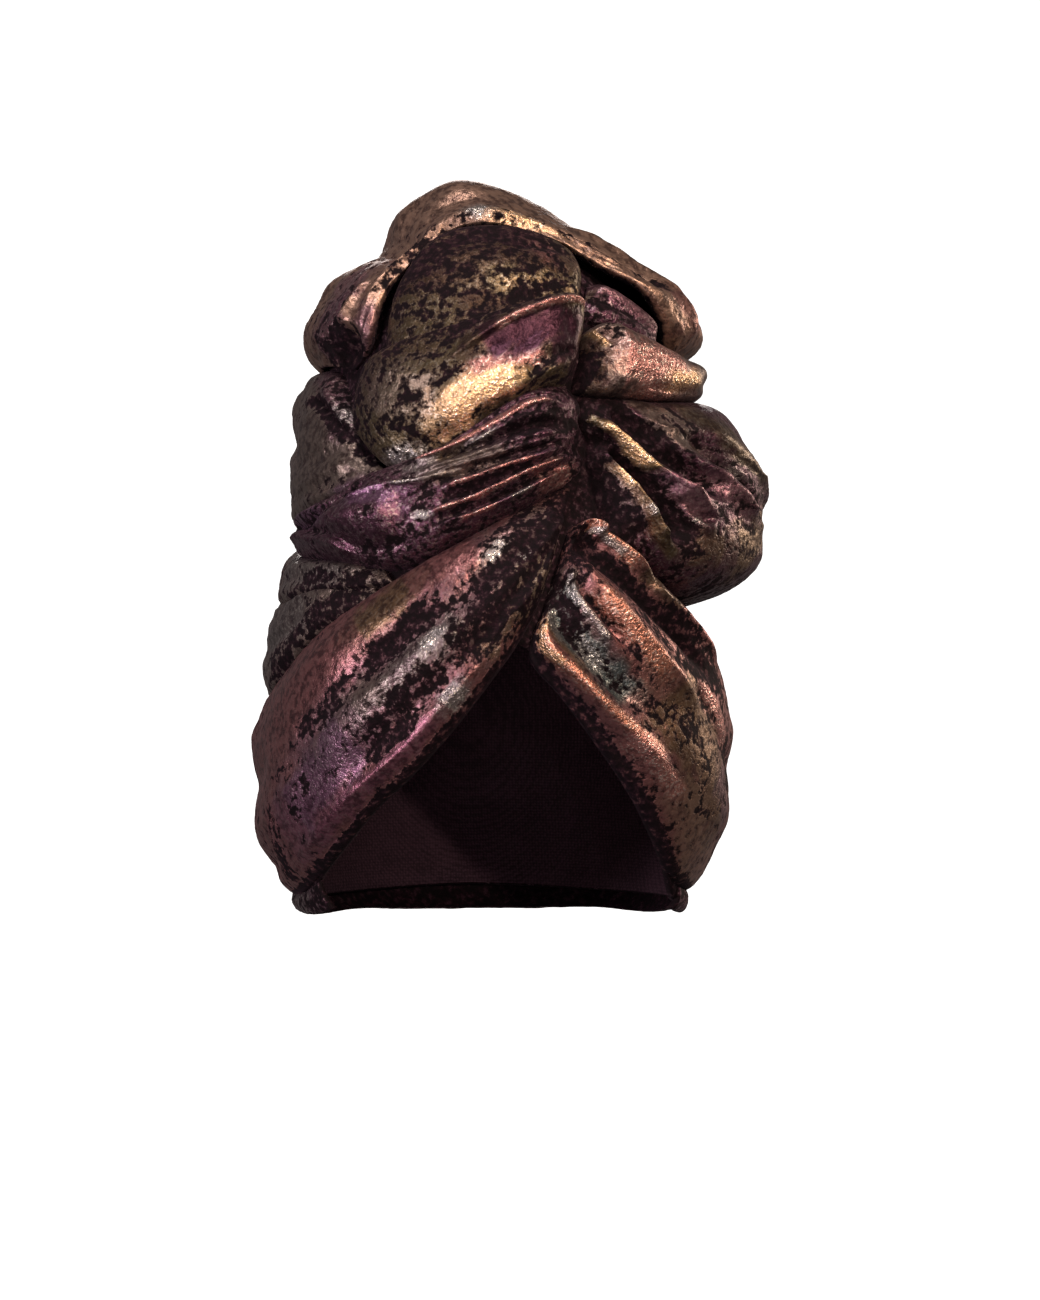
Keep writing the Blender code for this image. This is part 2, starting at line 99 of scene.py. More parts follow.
# A pleat runs along a path of (along, across) hundredths of its fold. Its height and width are in
# millimetres, a height below 0 is a valley, lean makes one side of it steeper, and a low crest is sharp.
Pleat = namedtuple("Pleat", "height width lean crest path")

# A stroke colours the cloth along a path of the same kind. Reach is in millimetres, and pile above 0
# lets more of the dark velvet through the foil.
Stroke = namedtuple("Stroke", "tint strength pile reach path")


def bareAndShade(pile, reach, path):  # a stroke that lets the pile through and leaves the tint; also used as painted shade in valleys, holes, hems and tucked ends
    return Stroke(None, 0, pile, reach, path)


# Foil tints: linear red, green and blue, and how much they glint, which paints glints into their colour and
# makes their foil smoother and bumpier
foilTints = {
    "rosewood": (0.205, 0.086, 0.088, 0.05),
    "mauve": (0.200, 0.100, 0.124, 0.12),
    "magenta": (0.215, 0.080, 0.122, 0.10),
    "orchid": (0.145, 0.072, 0.128, 0.15),
    "pewter": (0.128, 0.104, 0.104, 0.35),
    # a painted highlight: bright glints laid on crests and ridges
    "silver": (0.240, 0.215, 0.215, 1.00),
    "slate": (0.085, 0.096, 0.098, 0.30),
    "taupe": (0.140, 0.104, 0.092, 0.05),
    "brown": (0.272, 0.166, 0.128, 0.04),
    "bronze": (0.140, 0.090, 0.050, 0.10),
    "umber": (0.052, 0.030, 0.022, 0.03),
    "oldGold": (0.088, 0.064, 0.039, 0.10),
    # a painted highlight: the brightest gold, laid where the foil catches the lamps
    "paleGold": (0.760, 0.470, 0.260, 1.00),
    # copper and rose are foil colours laid mostly along crests, where they are also painted highlights
    "copper": (0.400, 0.168, 0.118, 0.60),
    "rose": (0.430, 0.185, 0.170, 0.80),
    "plum": (0.080, 0.035, 0.054, 0.15),
    "aubergine": (0.040, 0.016, 0.026, 0.0),
}

shellSearch = {"nearest": 0.2, "farthest": 2.5, "halvings": 26, "slopeStep": 0.0005, "peak": 0.96}
pathSteps = 20
noiseCells = 64


def smoothCurve(knots, values, at):  # a smooth curve through the knots
    knots, values = np.asarray(knots, float), np.asarray(values, float)
    at = np.clip(np.asarray(at, float), knots[0], knots[-1])
    slopes = np.gradient(values, knots, axis=0)
    k = np.clip(np.searchsorted(knots, at, side="right") - 1, 0, len(knots) - 2)
    step = knots[k + 1] - knots[k]
    u = (at - knots[k]) / step
    if values.ndim > 1:
        u, step = u[..., None], step[..., None]
    return (
        values[k] * (1 + 2 * u) * (1 - u) ** 2
        + slopes[k] * step * u * (1 - u) ** 2
        + values[k + 1] * u * u * (3 - 2 * u)
        + slopes[k + 1] * step * u * u * (u - 1)
    )


def easeIn(share):
    share = np.clip(share, 0, 1)
    return share * share * (3 - 2 * share)


def clothNoise(x, y, seed):  # smooth noise from -1 to 1
    lattice = np.random.RandomState(seed).rand(noiseCells, noiseCells) * 2 - 1
    i, j = np.floor(x).astype(int), np.floor(y).astype(int)
    u, v = x - i, y - j
    u, v = u * u * (3 - 2 * u), v * v * (3 - 2 * v)
    i, j, k, l = i % noiseCells, j % noiseCells, (i + 1) % noiseCells, (j + 1) % noiseCells
    near = lattice[i, j] * (1 - u) + lattice[k, j] * u
    far = lattice[i, l] * (1 - u) + lattice[k, l] * u
    return near * (1 - v) + far * v


def heightOf(level):  # in metres above the top of the head
    level = np.asarray(level, float)
    return np.where(level < 0, level * headForm["headDepth"], level * headForm["crownHeight"])


def outlineSizes():  # heights, squared half width, front and back, and the lean, at the outline's rows
    head = np.array([headForm["headWidth"], headForm["headLength"], headForm["headLength"]]) / 2
    head = head + headForm["shellWall"]
    crown = np.array([headForm["crownWidth"], headForm["crownLength"], headForm["crownLength"]]) / 2
    squares = [((head if r.level < 0 else crown) * (r.side, r.front, r.back)) ** 2 for r in shellOutline]
    heights = [float(heightOf(r.level)) for r in shellOutline]
    leans = [-r.lean * headForm["crownLean"] for r in shellOutline]
    return np.array(heights), np.array(squares), np.array(leans)


rowHeights, rowSquares, rowLeans = outlineSizes()


def sectionAt(height):  # squared half sizes, kept above 0 at the peak, and the lean
    squares = np.maximum(smoothCurve(rowHeights, rowSquares, height), 1e-9)
    return squares, smoothCurve(rowHeights, rowLeans, height)


def shellPoint(azimuth, level):
    azimuth, height = np.radians(azimuth), heightOf(level)
    squares, lean = sectionAt(height)
    forward = np.cos(azimuth)
    reach = np.where(forward > 0, squares[..., 1], squares[..., 2])
    sideways = lean + np.sqrt(squares[..., 0]) * np.sin(azimuth)
    return np.stack([sideways, -np.sqrt(reach) * forward, height], axis=-1)


def outside(points):  # above 0 beyond the shell
    squares, lean = sectionAt(points[..., 2])
    reach = np.where(points[..., 1] < 0, squares[..., 1], squares[..., 2])
    spread = (points[..., 0] - lean) ** 2 / squares[..., 0] + points[..., 1] ** 2 / reach
    aboveTop = np.maximum(points[..., 2] - headForm["crownHeight"], 0) / headForm["crownHeight"]
    return spread - 1 + aboveTop * 100


def ontoShell(points):  # moved from the middle of the wrap until they lie on the shell
    middle = points * (0, 0, 0.5)
    middle[..., 0] = sectionAt(points[..., 2])[1]
    reach = points - middle
    low = np.full(points.shape[:-1], shellSearch["nearest"])
    high = np.full(points.shape[:-1], shellSearch["farthest"])
    for _ in range(shellSearch["halvings"]):
        half = (low + high) / 2
        beyond = outside(middle + reach * half[..., None]) > 0
        high, low = np.where(beyond, half, high), np.where(beyond, low, half)
    return middle + reach * low[..., None]


def facing(points):  # straight out of the shell
    steps = np.eye(3) * shellSearch["slopeStep"]
    slope = np.stack([outside(points + step) - outside(points - step) for step in steps], axis=-1)
    nearTop = points[..., 2] > shellSearch["peak"] * headForm["crownHeight"]
    slope[..., 2] = np.where(nearTop, np.abs(slope[..., 2]), slope[..., 2])
    return slope / np.linalg.norm(slope, axis=-1, keepdims=True)


def surfaceAt(cloth, places):  # points on the seat at (along, across) shares
    steps, crossSteps = cloth["seat"].shape[0] - 1, cloth["seat"].shape[1] - 1
    i = np.clip(places[:, 0], 0, 1) * steps
    j = np.interp(places[:, 1], cloth["across"], np.arange(crossSteps + 1))
    i0, j0 = np.minimum(i.astype(int), steps - 1), np.minimum(j.astype(int), crossSteps - 1)
    i, j = (i - i0)[:, None], (j - j0)[:, None]
    low = cloth["seat"][i0, j0] * (1 - i) + cloth["seat"][i0 + 1, j0] * i
    high = cloth["seat"][i0, j0 + 1] * (1 - i) + cloth["seat"][i0 + 1, j0 + 1] * i
    return low * (1 - j) + high * j


def nearPath(cloth, path, reach):  # distance from a path, its side, and the share along it, within reach
    path = np.array(path, float) / 100
    spots = surfaceAt(cloth, smoothCurve(np.linspace(0, 1, len(path)), path, np.linspace(0, 1, pathSteps)))
    centre = (spots.max(axis=0) + spots.min(axis=0)) / 2
    extent = (spots.max(axis=0) - spots.min(axis=0)).max() / 2 + reach
    around = np.abs(cloth["seat"] - centre).max(axis=2) < extent
    seat, out = cloth["seat"][around], cloth["out"][around]
    best = np.full(len(seat), 1.0)
    side, share = np.zeros_like(best), np.zeros_like(best)
    for k in range(pathSteps - 1):
        ahead = spots[k + 1] - spots[k]
        offset = seat - spots[k]
        t = np.clip(offset @ ahead / (ahead @ ahead + 1e-12), 0, 1)
        away = np.linalg.norm(offset - t[:, None] * ahead, axis=1)
        nearer = away < best
        best = np.where(nearer, away, best)
        side = np.where(nearer, np.sign((np.cross(ahead, offset) * out).sum(axis=1)), side)
        share = np.where(nearer, (k + t) / (pathSteps - 1), share)
    return around, best, side, share


# How every fold is laid and crushed
layingHabits = {
    "sink": 0.0010,  # how far its edges sink into the turns below
    "deepest": 0.0022,  # how far its inside may sink
    "thinnest": 0.0006,  # how far a valley's floor stays above the turns below
    "endNarrows": 0.13,  # the share of a fold in which a tapered end narrows
    "endFlattens": 0.07,  # and in which it goes flat
    "endRolls": 0.94,  # how far down a rounded end rolls
    "pleatRises": 0.16,  # the share of its path in which a pleat rises
    "pleatFades": 0.22,  # and in which it fades
    "pleatReach": 5,  # how many widths from its path a pleat is felt
    "wrinkleLong": 0.050,
    "wrinkleWide": 0.0140,
    "wrinkleSets": ((1, 1.0), (2.1, 0.45), (4.3, 0.22)),  # how much finer each set is, and its share
    "wrinkleBend": 1.2,
    "looseBehind": 1.1,  # how much more the folds wrinkle at the back
    "behind": 0.06,  # where that is full
    "crushSize": 0.0050,
    "crushDepth": 0.0006,
}

# What a fold has where its own dictionary doesn't say. Each also gives its ground tint and how much pile
# shows, the height of its wrinkles (slack, in millimetres), how crumpled it is (crush), its steps along
# and across (grid), and its flat size and how and on what it is held.
usualFold = {
    "wall": 0.0022,
    "tuck": 0.0025,  # how far it goes under its neighbours
    "swell": 1.0,  # how much of the height in its rows it has
    "deep": 1.0,  # how deep its pleats are
    "bulge": 0.0,  # how much fuller it is towards its edges
    "droop": 0.0,  # how far its crest sinks towards the low edge
    "lowRound": 0.75,  # fuller below 1 and flatter above, on the low side
    "highRound": 0.75,
    "hold": ((0, 0, 0), (1, 0, 0)),  # share along it, and how much of its height each edge keeps there
    "taper": (1, 1),  # how much of its width is left at the start and the end
    "rounding": (0, 0),  # the share of it that rolls over at the start and the end
    "lap": (0, 0),  # how far its end goes on, in degrees, and how much higher
    "startLine": ((0, 0), (0.5, 0), (1, 0)),  # share across it, and how far its start is cut back there
    "endLine": ((0, 0), (0.5, 0), (1, 0)),
    "restsOn": ["under_wrap"],
}

# How strokes of foil and pile are laid on
paintHabits = {
    "raggedSizes": ((0.009, 0.006), (0.003, 0.0022)),
    "ragged": 0.75,  # how much a broad stroke frays
    "wholeReach": 0.005,  # a stroke narrower than this frays less
    "spread": 1.55,
    "felt": 2.5,  # how many times its reach a stroke is felt
    "crestLightValleyShade": 0.15,  # painted shade and light: how much more dark pile the valleys show, and more foil the crests
    "crestHeight": 0.0025,
}


def pleatLift(cloth, pleat):
    width = pleat.width * 0.001
    lift = np.zeros(cloth["s"].shape)
    around, away, side, share = nearPath(cloth, pleat.path, width * layingHabits["pleatReach"])
    spread = away / (width * (1 + pleat.lean * side))
    ends = easeIn(share / layingHabits["pleatRises"]) * easeIn((1 - share) / layingHabits["pleatFades"])
    lift[around] = pleat.height * 0.001 * np.exp(-(spread**pleat.crest)) * ends
    return lift


def endBites(piece, across):  # how much of the fold's length each end gives up, across the fold
    lines = [np.array(piece[name], float) for name in ("startLine", "endLine")]
    return [smoothCurve(line[:, 0], line[:, 1], across)[None, :] for line in lines]


def foldEdges(piece, along, even):  # the low and high edge, the height off the shell, and how the ends close
    rows = list(piece["rows"])
    lapTurn, lapRise = piece["lap"]
    last = rows[-1]
    rows[-1] = last._replace(
        lowAzimuth=last.lowAzimuth + lapTurn, highAzimuth=last.highAzimuth + lapTurn, rise=last.rise + lapRise
    )
    knots = np.linspace(0, 1, len(rows))
    low = shellPoint(np.array([r.lowAzimuth for r in rows]), np.array([r.lowLevel for r in rows]))
    high = shellPoint(np.array([r.highAzimuth for r in rows]), np.array([r.highLevel for r in rows]))
    low, high = smoothCurve(knots, low, along), smoothCurve(knots, high, along)
    rise = smoothCurve(knots, [r.rise for r in rows], along) * headForm["foldRise"] * piece["swell"]
    closed = np.ones_like(even)
    for keep, rounding, near in zip(piece["taper"], piece["rounding"], (even, 1 - even)):
        if keep < 1:  # this end narrows and goes flat before it is tucked away
            middle = (low + high) / 2
            left = (keep + (1 - keep) * easeIn(near / layingHabits["endNarrows"]) ** 0.6)[:, None, None]
            low, high = middle + (low - middle) * left, middle + (high - middle) * left
            closed = closed * easeIn(near / layingHabits["endFlattens"]) ** 0.5
        if rounding:  # this end rolls over
            fall = (1 - np.minimum(near / rounding, 1)) ** 2
            closed = closed * np.sqrt(1 - layingHabits["endRolls"] * fall)
    return low, high, rise, closed


def foldRelief(cloth, piece):  # the pleats, and the wrinkles over them
    relief = np.zeros_like(cloth["s"])
    for pleat in piece["pleats"]:
        relief += pleatLift(cloth, pleat) * piece["deep"]
    loose = 1 + layingHabits["looseBehind"] * easeIn(cloth["seat"][..., 1] / layingHabits["behind"])
    for finer, share in layingHabits["wrinkleSets"]:
        x = cloth["s"] / layingHabits["wrinkleLong"] * finer
        y = cloth["w"] / layingHabits["wrinkleWide"] * finer
        bend = clothNoise(x * 0.7 + 5, y * 0.3 + 9, piece["seed"] + 3) * layingHabits["wrinkleBend"]
        ridge = 1 - 2 * np.abs(clothNoise(x, y + bend, piece["seed"] + int(finer)))
        relief += ridge * share * piece["slack"] * 0.001 * loose
    return relief


def foldSection(piece, turn, across, along):  # its height across, and how free each point is to wrinkle
    edge = np.minimum(1, np.sin(turn) * 3)[None, :]
    high = easeIn(across)[None, :]
    arch = np.sin(turn)[None, :] ** (piece["lowRound"] * (1 - high) + piece["highRound"] * high)
    hold = np.array(piece["hold"], float)
    lowHold, highHold = (np.interp(along, hold[:, 0], hold[:, k]) for k in (1, 2))
    held = lowHold * (1 - high) + highHold * high
    return arch + (1 - arch) * held, edge + (1 - edge) * held


def foldCloth(piece):  # the fold's outside and inside grids, its colours, and how free each point is
    steps, crossSteps = piece["grid"]
    turn = np.linspace(0, math.pi, crossSteps + 1)
    cross = -np.cos(turn)
    fuller = cross * (1 + piece["bulge"] * (1 - cross**2))
    across = 0.5 + 0.5 * fuller - piece["droop"] * np.sin(turn) ** 2 * 0.5
    even = np.linspace(0, 1, steps + 1)
    startBite, endBite = endBites(piece, across)
    along = startBite + (1 - startBite - endBite) * even[:, None]
    low, high, rise, closed = foldEdges(piece, along, even)
    width = np.linalg.norm(high - low, axis=2)
    tucked = (high - low) / width[..., None] * piece["tuck"]
    low, high, width = low - tucked, high + tucked, width + 2 * piece["tuck"]
    seat = ontoShell(low * (1 - across[None, :, None]) + high * across[None, :, None])
    middleLine = seat[:, crossSteps // 2]
    length = float(np.linalg.norm(np.diff(middleLine, axis=0), axis=1).sum())
    cloth = {"seat": seat, "out": facing(seat), "across": across, "width": width, "length": length}
    cloth["s"] = along * length
    cloth["w"] = width * across[None, :]
    relief = foldRelief(cloth, piece)
    arch, edge = foldSection(piece, turn, across, along)
    sink = layingHabits["sink"]
    body = (rise + sink) * arch + relief * edge
    floor = (sink + layingHabits["thinnest"]) * np.minimum(arch * 2.5, 1)
    lift = -sink + np.maximum(body, floor) * closed[:, None]
    outer = seat + cloth["out"] * lift[..., None]
    innerLift = np.maximum(lift - piece["wall"], -layingHabits["deepest"])
    inner = seat + cloth["out"] * innerLift[..., None]
    return cloth, outer, inner[::2, ::2], foldColours(cloth, piece, relief), np.minimum(edge, 1)


def foldColours(cloth, piece, relief):  # red, green, blue, glint and pile at every point
    colour = np.empty(cloth["s"].shape + (5,))
    colour[..., :4] = foilTints[piece["tint"]]
    colour[..., 4] = piece["pile"]
    ragged = np.zeros_like(cloth["s"])
    for k, (long, wide) in enumerate(paintHabits["raggedSizes"]):
        ragged += 0.5 * clothNoise(cloth["s"] / long, cloth["w"] / wide, piece["seed"] + 40 + k)
    for stroke in piece["strokes"]:
        reach = stroke.reach * 0.001
        around, away, _, share = nearPath(cloth, stroke.path, reach * paintHabits["felt"])
        ends = easeIn(share / 0.10 + 0.4) * easeIn((1 - share) / 0.10 + 0.4)
        rough = paintHabits["ragged"] * min(1, reach / paintHabits["wholeReach"])
        weight = easeIn(paintHabits["spread"] - (away / reach + rough * ragged[around])) * ends
        here = colour[around]
        if stroke.tint:
            strength = (weight * stroke.strength)[:, None]
            here[:, :4] += (np.array(foilTints[stroke.tint]) - here[:, :4]) * strength
        here[:, 4] = np.clip(here[:, 4] + stroke.pile * weight, 0, 1)
        colour[around] = here
    # painted shade in the valleys and painted light on the crests: the pile rises in the valleys and falls on
    # the crests
    colour[..., 4] -= np.clip(relief / paintHabits["crestHeight"], -1, 1) * paintHabits["crestLightValleyShade"]
    colour[..., 4] = np.clip(colour[..., 4], 0, 1)
    return colour


def foldFaces(steps, crossSteps):  # a fine outside, an inside half as fine, and the rim between
    wide, narrow = crossSteps + 1, crossSteps // 2 + 1
    start = (steps + 1) * wide
    faces = []
    for i in range(steps):
        for j in range(crossSteps):
            a = i * wide + j
            faces.append((a, a + wide, a + wide + 1, a + 1))
    for i in range(steps // 2):
        for j in range(narrow - 1):
            a = start + i * narrow + j
            faces.append((a + 1, a + narrow + 1, a + narrow, a))
        for outer, inner, turned in (
            (2 * i * wide, start + i * narrow, False),
            (2 * i * wide + crossSteps, start + (i + 1) * narrow - 1, True),
        ):
            rim = (inner, inner + narrow, outer + 2 * wide, outer + wide, outer)
            faces.append(rim[::-1] if turned else rim)
    for j in range(narrow - 1):
        for outer, inner, turned in (
            (2 * j, start + j, False),
            (steps * wide + 2 * j, start + steps // 2 * narrow + j, True),
        ):
            rim = (outer, outer + 1, outer + 2, inner + 1, inner)
            faces.append(rim[::-1] if turned else rim)
    return faces


def clothObject(name, points, faces, flatPlaces, colour, slack):  # a mesh with its cloth attributes
    mesh = bpy.data.meshes.new(name)
    mesh.from_pydata(points.tolist(), [], faces)
    mesh.shade_smooth()
    corners = np.empty(len(mesh.loops), np.int32)
    mesh.loops.foreach_get("vertex_index", corners)
    mesh.uv_layers.new(name="cloth").uv.foreach_set("vector", flatPlaces[corners].astype(np.float32).ravel())
    opaque = np.column_stack([colour[:, :3], np.ones(len(colour))]).astype(np.float32)
    mesh.attributes.new("tint", "FLOAT_COLOR", "POINT").data.foreach_set("color", opaque.ravel())
    for label, values in (("glint", colour[:, 3]), ("pile", colour[:, 4]), ("slack", slack)):
        mesh.attributes.new(label, "FLOAT", "POINT").data.foreach_set("value", values.astype(np.float32))
    made = bpy.data.objects.new(name, mesh)
    bpy.context.scene.collection.objects.link(made)
    return made


class Thread:  # one socket in a node tree, so that maths on it reads as plain Python
    def __init__(self, loom, socket):
        self.loom, self.socket = loom, socket

    def maths(self, operation, first, second):
        return self.loom.node("ShaderNodeMath", {"operation": operation}, {0: first, 1: second})

    def __add__(self, other):
        return self.maths("ADD", self, other)

    def __sub__(self, other):
        return self.maths("SUBTRACT", self, other)

    def __rsub__(self, other):
        return self.maths("SUBTRACT", other, self)

    def __mul__(self, other):
        return self.maths("MULTIPLY", self, other)

    __radd__, __rmul__ = __add__, __mul__


class Loom:  # makes the nodes of one tree
    def __init__(self, tree):
        self.tree = tree
        tree.nodes.clear()

    def node(self, kind, settings=None, sockets=None, out=0):
        made = self.tree.nodes.new(kind)
        for label, value in (settings or {}).items():
            setattr(made, label, value)
        for label, value in (sockets or {}).items():
            if isinstance(value, Thread):
                self.tree.links.new(value.socket, made.inputs[label])
            else:
                made.inputs[label].default_value = value
        return Thread(self, made.outputs[out]) if len(made.outputs) else made

    def noise(self, place, scale, detail, roughness=0.5, distortion=0.0):
        sockets = {"Vector": place, "Scale": scale, "Detail": detail}
        sockets.update({"Roughness": roughness, "Distortion": distortion})
        return self.node("ShaderNodeTexNoise", {}, sockets)

    def bump(self, strength, distance, height):
        return self.node("ShaderNodeBump", {}, {"Strength": strength, "Distance": distance, "Height": height})

    def dress(self, sockets):  # the shader and the tree's output
        shader = self.node("ShaderNodeBsdfPrincipled", {}, sockets)
        self.node("ShaderNodeOutputMaterial", {}, {"Surface": shader})

    def blend(self, share, first, second):  # mixes two colours
        return self.node("ShaderNodeMix", {"data_type": "RGBA"}, {0: share, 6: first, 7: second}, out=2)

    def step(self, value, low, high, start=0.0, end=1.0):
        settings = {"interpolation_type": "SMOOTHSTEP"}
        return self.node("ShaderNodeMapRange", settings, {0: value, 1: low, 2: high, 3: start, 4: end})


def startMaterial(name):
    material = bpy.data.materials.new(name)
    material.use_nodes = True
    return material, Loom(material.node_tree)


# The crushed foil velvet: foil on a dark pile, which shows through it in ragged patches
foilFinish = {
    "pileColour": (0.0030, 0.0011, 0.0020, 1),
    "pileGlow": (0.0140, 0.0046, 0.0082, 1),
    # the colour of the painted glints
    "glow": (1.0, 0.90, 0.82, 1),  # what the glints tend to
    "patches": (185.0, 235.0, 1),  # to the metre, along and across the fold
    "blots": 48.0,
    "specks": 400.0,
    "facets": 950.0,
    "patchShare": 0.72,  # the rest of the pattern is blots
    "ragged": 0.66,
    "pileShows": 0.50,
    "foilEdge": (0.175, 0.325),  # from bare pile to whole foil
    "fleckEdge": (0.72, 0.80),  # loose flecks on the bare pile
    "fleckShare": (0.55, 0.40),  # how many, and how much the pile takes of them
    "wornEdge": (0.40, 0.57),
    "worn": 0.70,
    "sparkEdge": (0.53, 0.58),
    "pileEdge": (0.42, 0.66),
    "foilMetal": 0.85,
    "foilRoughness": 0.37,
    "pileRoughness": 0.80,
    "sheen": 0.018,
    "bumpDepth": 0.0011,
}


def foilVelvet(name, finish):
    material, loom = startMaterial(name)
    flat = loom.node("ShaderNodeUVMap", {"uv_map": "cloth"})
    place = loom.node("ShaderNodeTexCoord", out=3)
    tint = loom.node("ShaderNodeAttribute", {"attribute_name": "tint"})
    glint = loom.node("ShaderNodeAttribute", {"attribute_name": "glint"}, out=2)
    pile = loom.node("ShaderNodeAttribute", {"attribute_name": "pile"}, out=2)
    stretched = loom.node("ShaderNodeMapping", {}, {"Vector": flat, "Scale": finish["patches"]})
    patches = loom.noise(stretched, 1.0, 4.0, 0.58, 0.5)
    blots = loom.noise(place, finish["blots"], 2.0)
    specks = loom.noise(place, finish["specks"], 3.0, 0.6)
    facets = loom.noise(place, finish["facets"], 2.0, 0.55)
    cover = patches * finish["patchShare"] + blots * (1 - finish["patchShare"])
    cover = cover + (specks - 0.5) * finish["ragged"] - pile * finish["pileShows"]
    many, fewer = finish["fleckShare"]
    flecks = loom.step(specks + facets * 0.3, *finish["fleckEdge"]) * (many - pile * fewer)
    foil = loom.step(cover, *finish["foilEdge"])
    foil = foil + (1 - foil) * flecks
    whole = loom.step(patches * 0.4 + specks * 0.6, *finish["wornEdge"])
    # Painted glints: where glint is high the foil loses less to the darker mottling, and at the sparks its
    # colour is painted towards the glint colour. Glint also makes the foil smoother and its bumps stronger.
    spark = loom.step(facets * 0.7 + specks * 0.3, *finish["sparkEdge"])
    shaded = loom.blend(finish["worn"], tint, finish["pileGlow"])
    foilColour = loom.blend(whole + glint * 0.55, shaded, tint)
    foilColour = loom.blend(spark * glint * 0.9, foilColour, loom.blend(0.50, tint, finish["glow"]))
    pileColour = loom.blend(loom.step(specks, *finish["pileEdge"]), finish["pileColour"], finish["pileGlow"])
    sheer = glint * (0.08 + spark * 0.14) - 0.12 * (specks - 0.3)
    smoother = finish["pileRoughness"] - finish["foilRoughness"] + sheer
    height = foil * 0.22 + facets * (glint * 0.9 + 0.22) + specks * 0.30
    loom.dress({
        "Base Color": loom.blend(foil, pileColour, foilColour),
        "Metallic": foil * finish["foilMetal"],
        "Roughness": finish["pileRoughness"] - foil * smoother,
        "Normal": loom.bump(0.8, finish["bumpDepth"], height),
        "Sheen Weight": finish["sheen"],
        "Sheen Roughness": 0.45,
        "Sheen Tint": (0.75, 0.45, 0.65, 1),
        "Specular IOR Level": 0.08,
    })
    return material


# The knitted wrong side of the velvet
backingFinish = {
    "yarn": (0.0520, 0.0240, 0.0360, 1),
    "gap": (0.0200, 0.0085, 0.0140, 1),
    "wales": 900.0,
    "wornPatches": 90.0,
    "bumpDepth": 0.0006,
}


def knitBacking(name, finish):
    material, loom = startMaterial(name)
    place = loom.node("ShaderNodeTexCoord", out=3)
    worn = loom.noise(place, finish["wornPatches"], 3.0)
    loops = {"Vector": place, "Scale": finish["wales"], "Randomness": 0.35}
    knit = loom.node("ShaderNodeTexVoronoi", {"feature": "F1"}, loops)
    shade = loom.step(knit + (worn - 0.5) * 0.5, 0.1, 0.8)
    loom.dress({
        "Base Color": loom.blend(shade, finish["yarn"], finish["gap"]),
        "Roughness": 0.9 - worn * 0.1,
        "Normal": loom.bump(0.5, finish["bumpDepth"], 1 - knit),
        "Specular IOR Level": 0.15,
    })
    return material


def crushTree():  # Geometry Nodes: crumples the cloth along its normals where its slack allows
    tree = bpy.data.node_groups.new("crushedPile", "GeometryNodeTree")
    face = tree.interface
    face.new_socket("Geometry", in_out="INPUT", socket_type="NodeSocketGeometry")
    for label, habit in (("Crush depth", "crushDepth"), ("Crush size", "crushSize")):
        size = face.new_socket(label, in_out="INPUT", socket_type="NodeSocketFloat")
        size.default_value = layingHabits[habit]
    face.new_socket("Seed", in_out="INPUT", socket_type="NodeSocketInt").default_value = 1
    face.new_socket("Cloth", in_out="INPUT", socket_type="NodeSocketMaterial")
    face.new_socket("Geometry", in_out="OUTPUT", socket_type="NodeSocketGeometry")
    loom = Loom(tree)
    entry = tree.nodes.new("NodeGroupInput")
    given = {socket.name: Thread(loom, socket) for socket in entry.outputs}
    place = loom.node("GeometryNodeInputPosition")
    normal = loom.node("GeometryNodeInputNormal")
    slack = loom.node("GeometryNodeInputNamedAttribute", {"data_type": "FLOAT"}, {"Name": "slack"})
    scale = loom.node("ShaderNodeMath", {"operation": "DIVIDE"}, {0: 1.0, 1: given["Crush size"]})
    crumple = {"Vector": place, "W": given["Seed"], "Scale": scale, "Detail": 2.0, "Roughness": 0.5}
    folds = loom.node("ShaderNodeTexNoise", {"noise_dimensions": "4D"}, crumple)
    sharp = loom.node("ShaderNodeMath", {"operation": "ABSOLUTE"}, {0: folds - 0.5})
    amount = (0.12 - sharp) * 4.0 * given["Crush depth"] * slack  # narrow ridges between flat dents
    offset = loom.node("ShaderNodeVectorMath", {"operation": "SCALE"}, {0: normal, 3: amount})
    moved = loom.node("GeometryNodeSetPosition", {}, {"Geometry": given["Geometry"], "Offset": offset})
    plain = loom.node("GeometryNodeRealizeInstances", {}, {"Geometry": moved})
    dressed = loom.node("GeometryNodeSetMaterial", {}, {"Geometry": plain, "Material": given["Cloth"]})
    finish = tree.nodes.new("NodeGroupOutput")
    tree.links.new(dressed.socket, finish.inputs[0])
    return tree


def applyTree(made, tree, **given):  # runs a tree on an object once, and leaves a plain mesh
    modifier = made.modifiers.new("tree", "NODES")
    modifier.node_group = tree
    for socket in tree.interface.items_tree:
        key = socket.name.replace(" ", "_")
        if socket.in_out == "INPUT" and key in given:
            modifier[socket.identifier] = given[key]
    evaluated = made.evaluated_get(bpy.context.evaluated_depsgraph_get())
    plain = bpy.data.meshes.new_from_object(evaluated)
    made.modifiers.clear()
    old, made.data = made.data, plain
    bpy.data.meshes.remove(old)
    plain.name = made.name


crushedPile = crushTree()
foilCloth = foilVelvet("crushedFoilVelvet", foilFinish)
backingCloth = knitBacking("velvetBacking", backingFinish)


def declare(made, node):
    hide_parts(node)
    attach(made, "root")


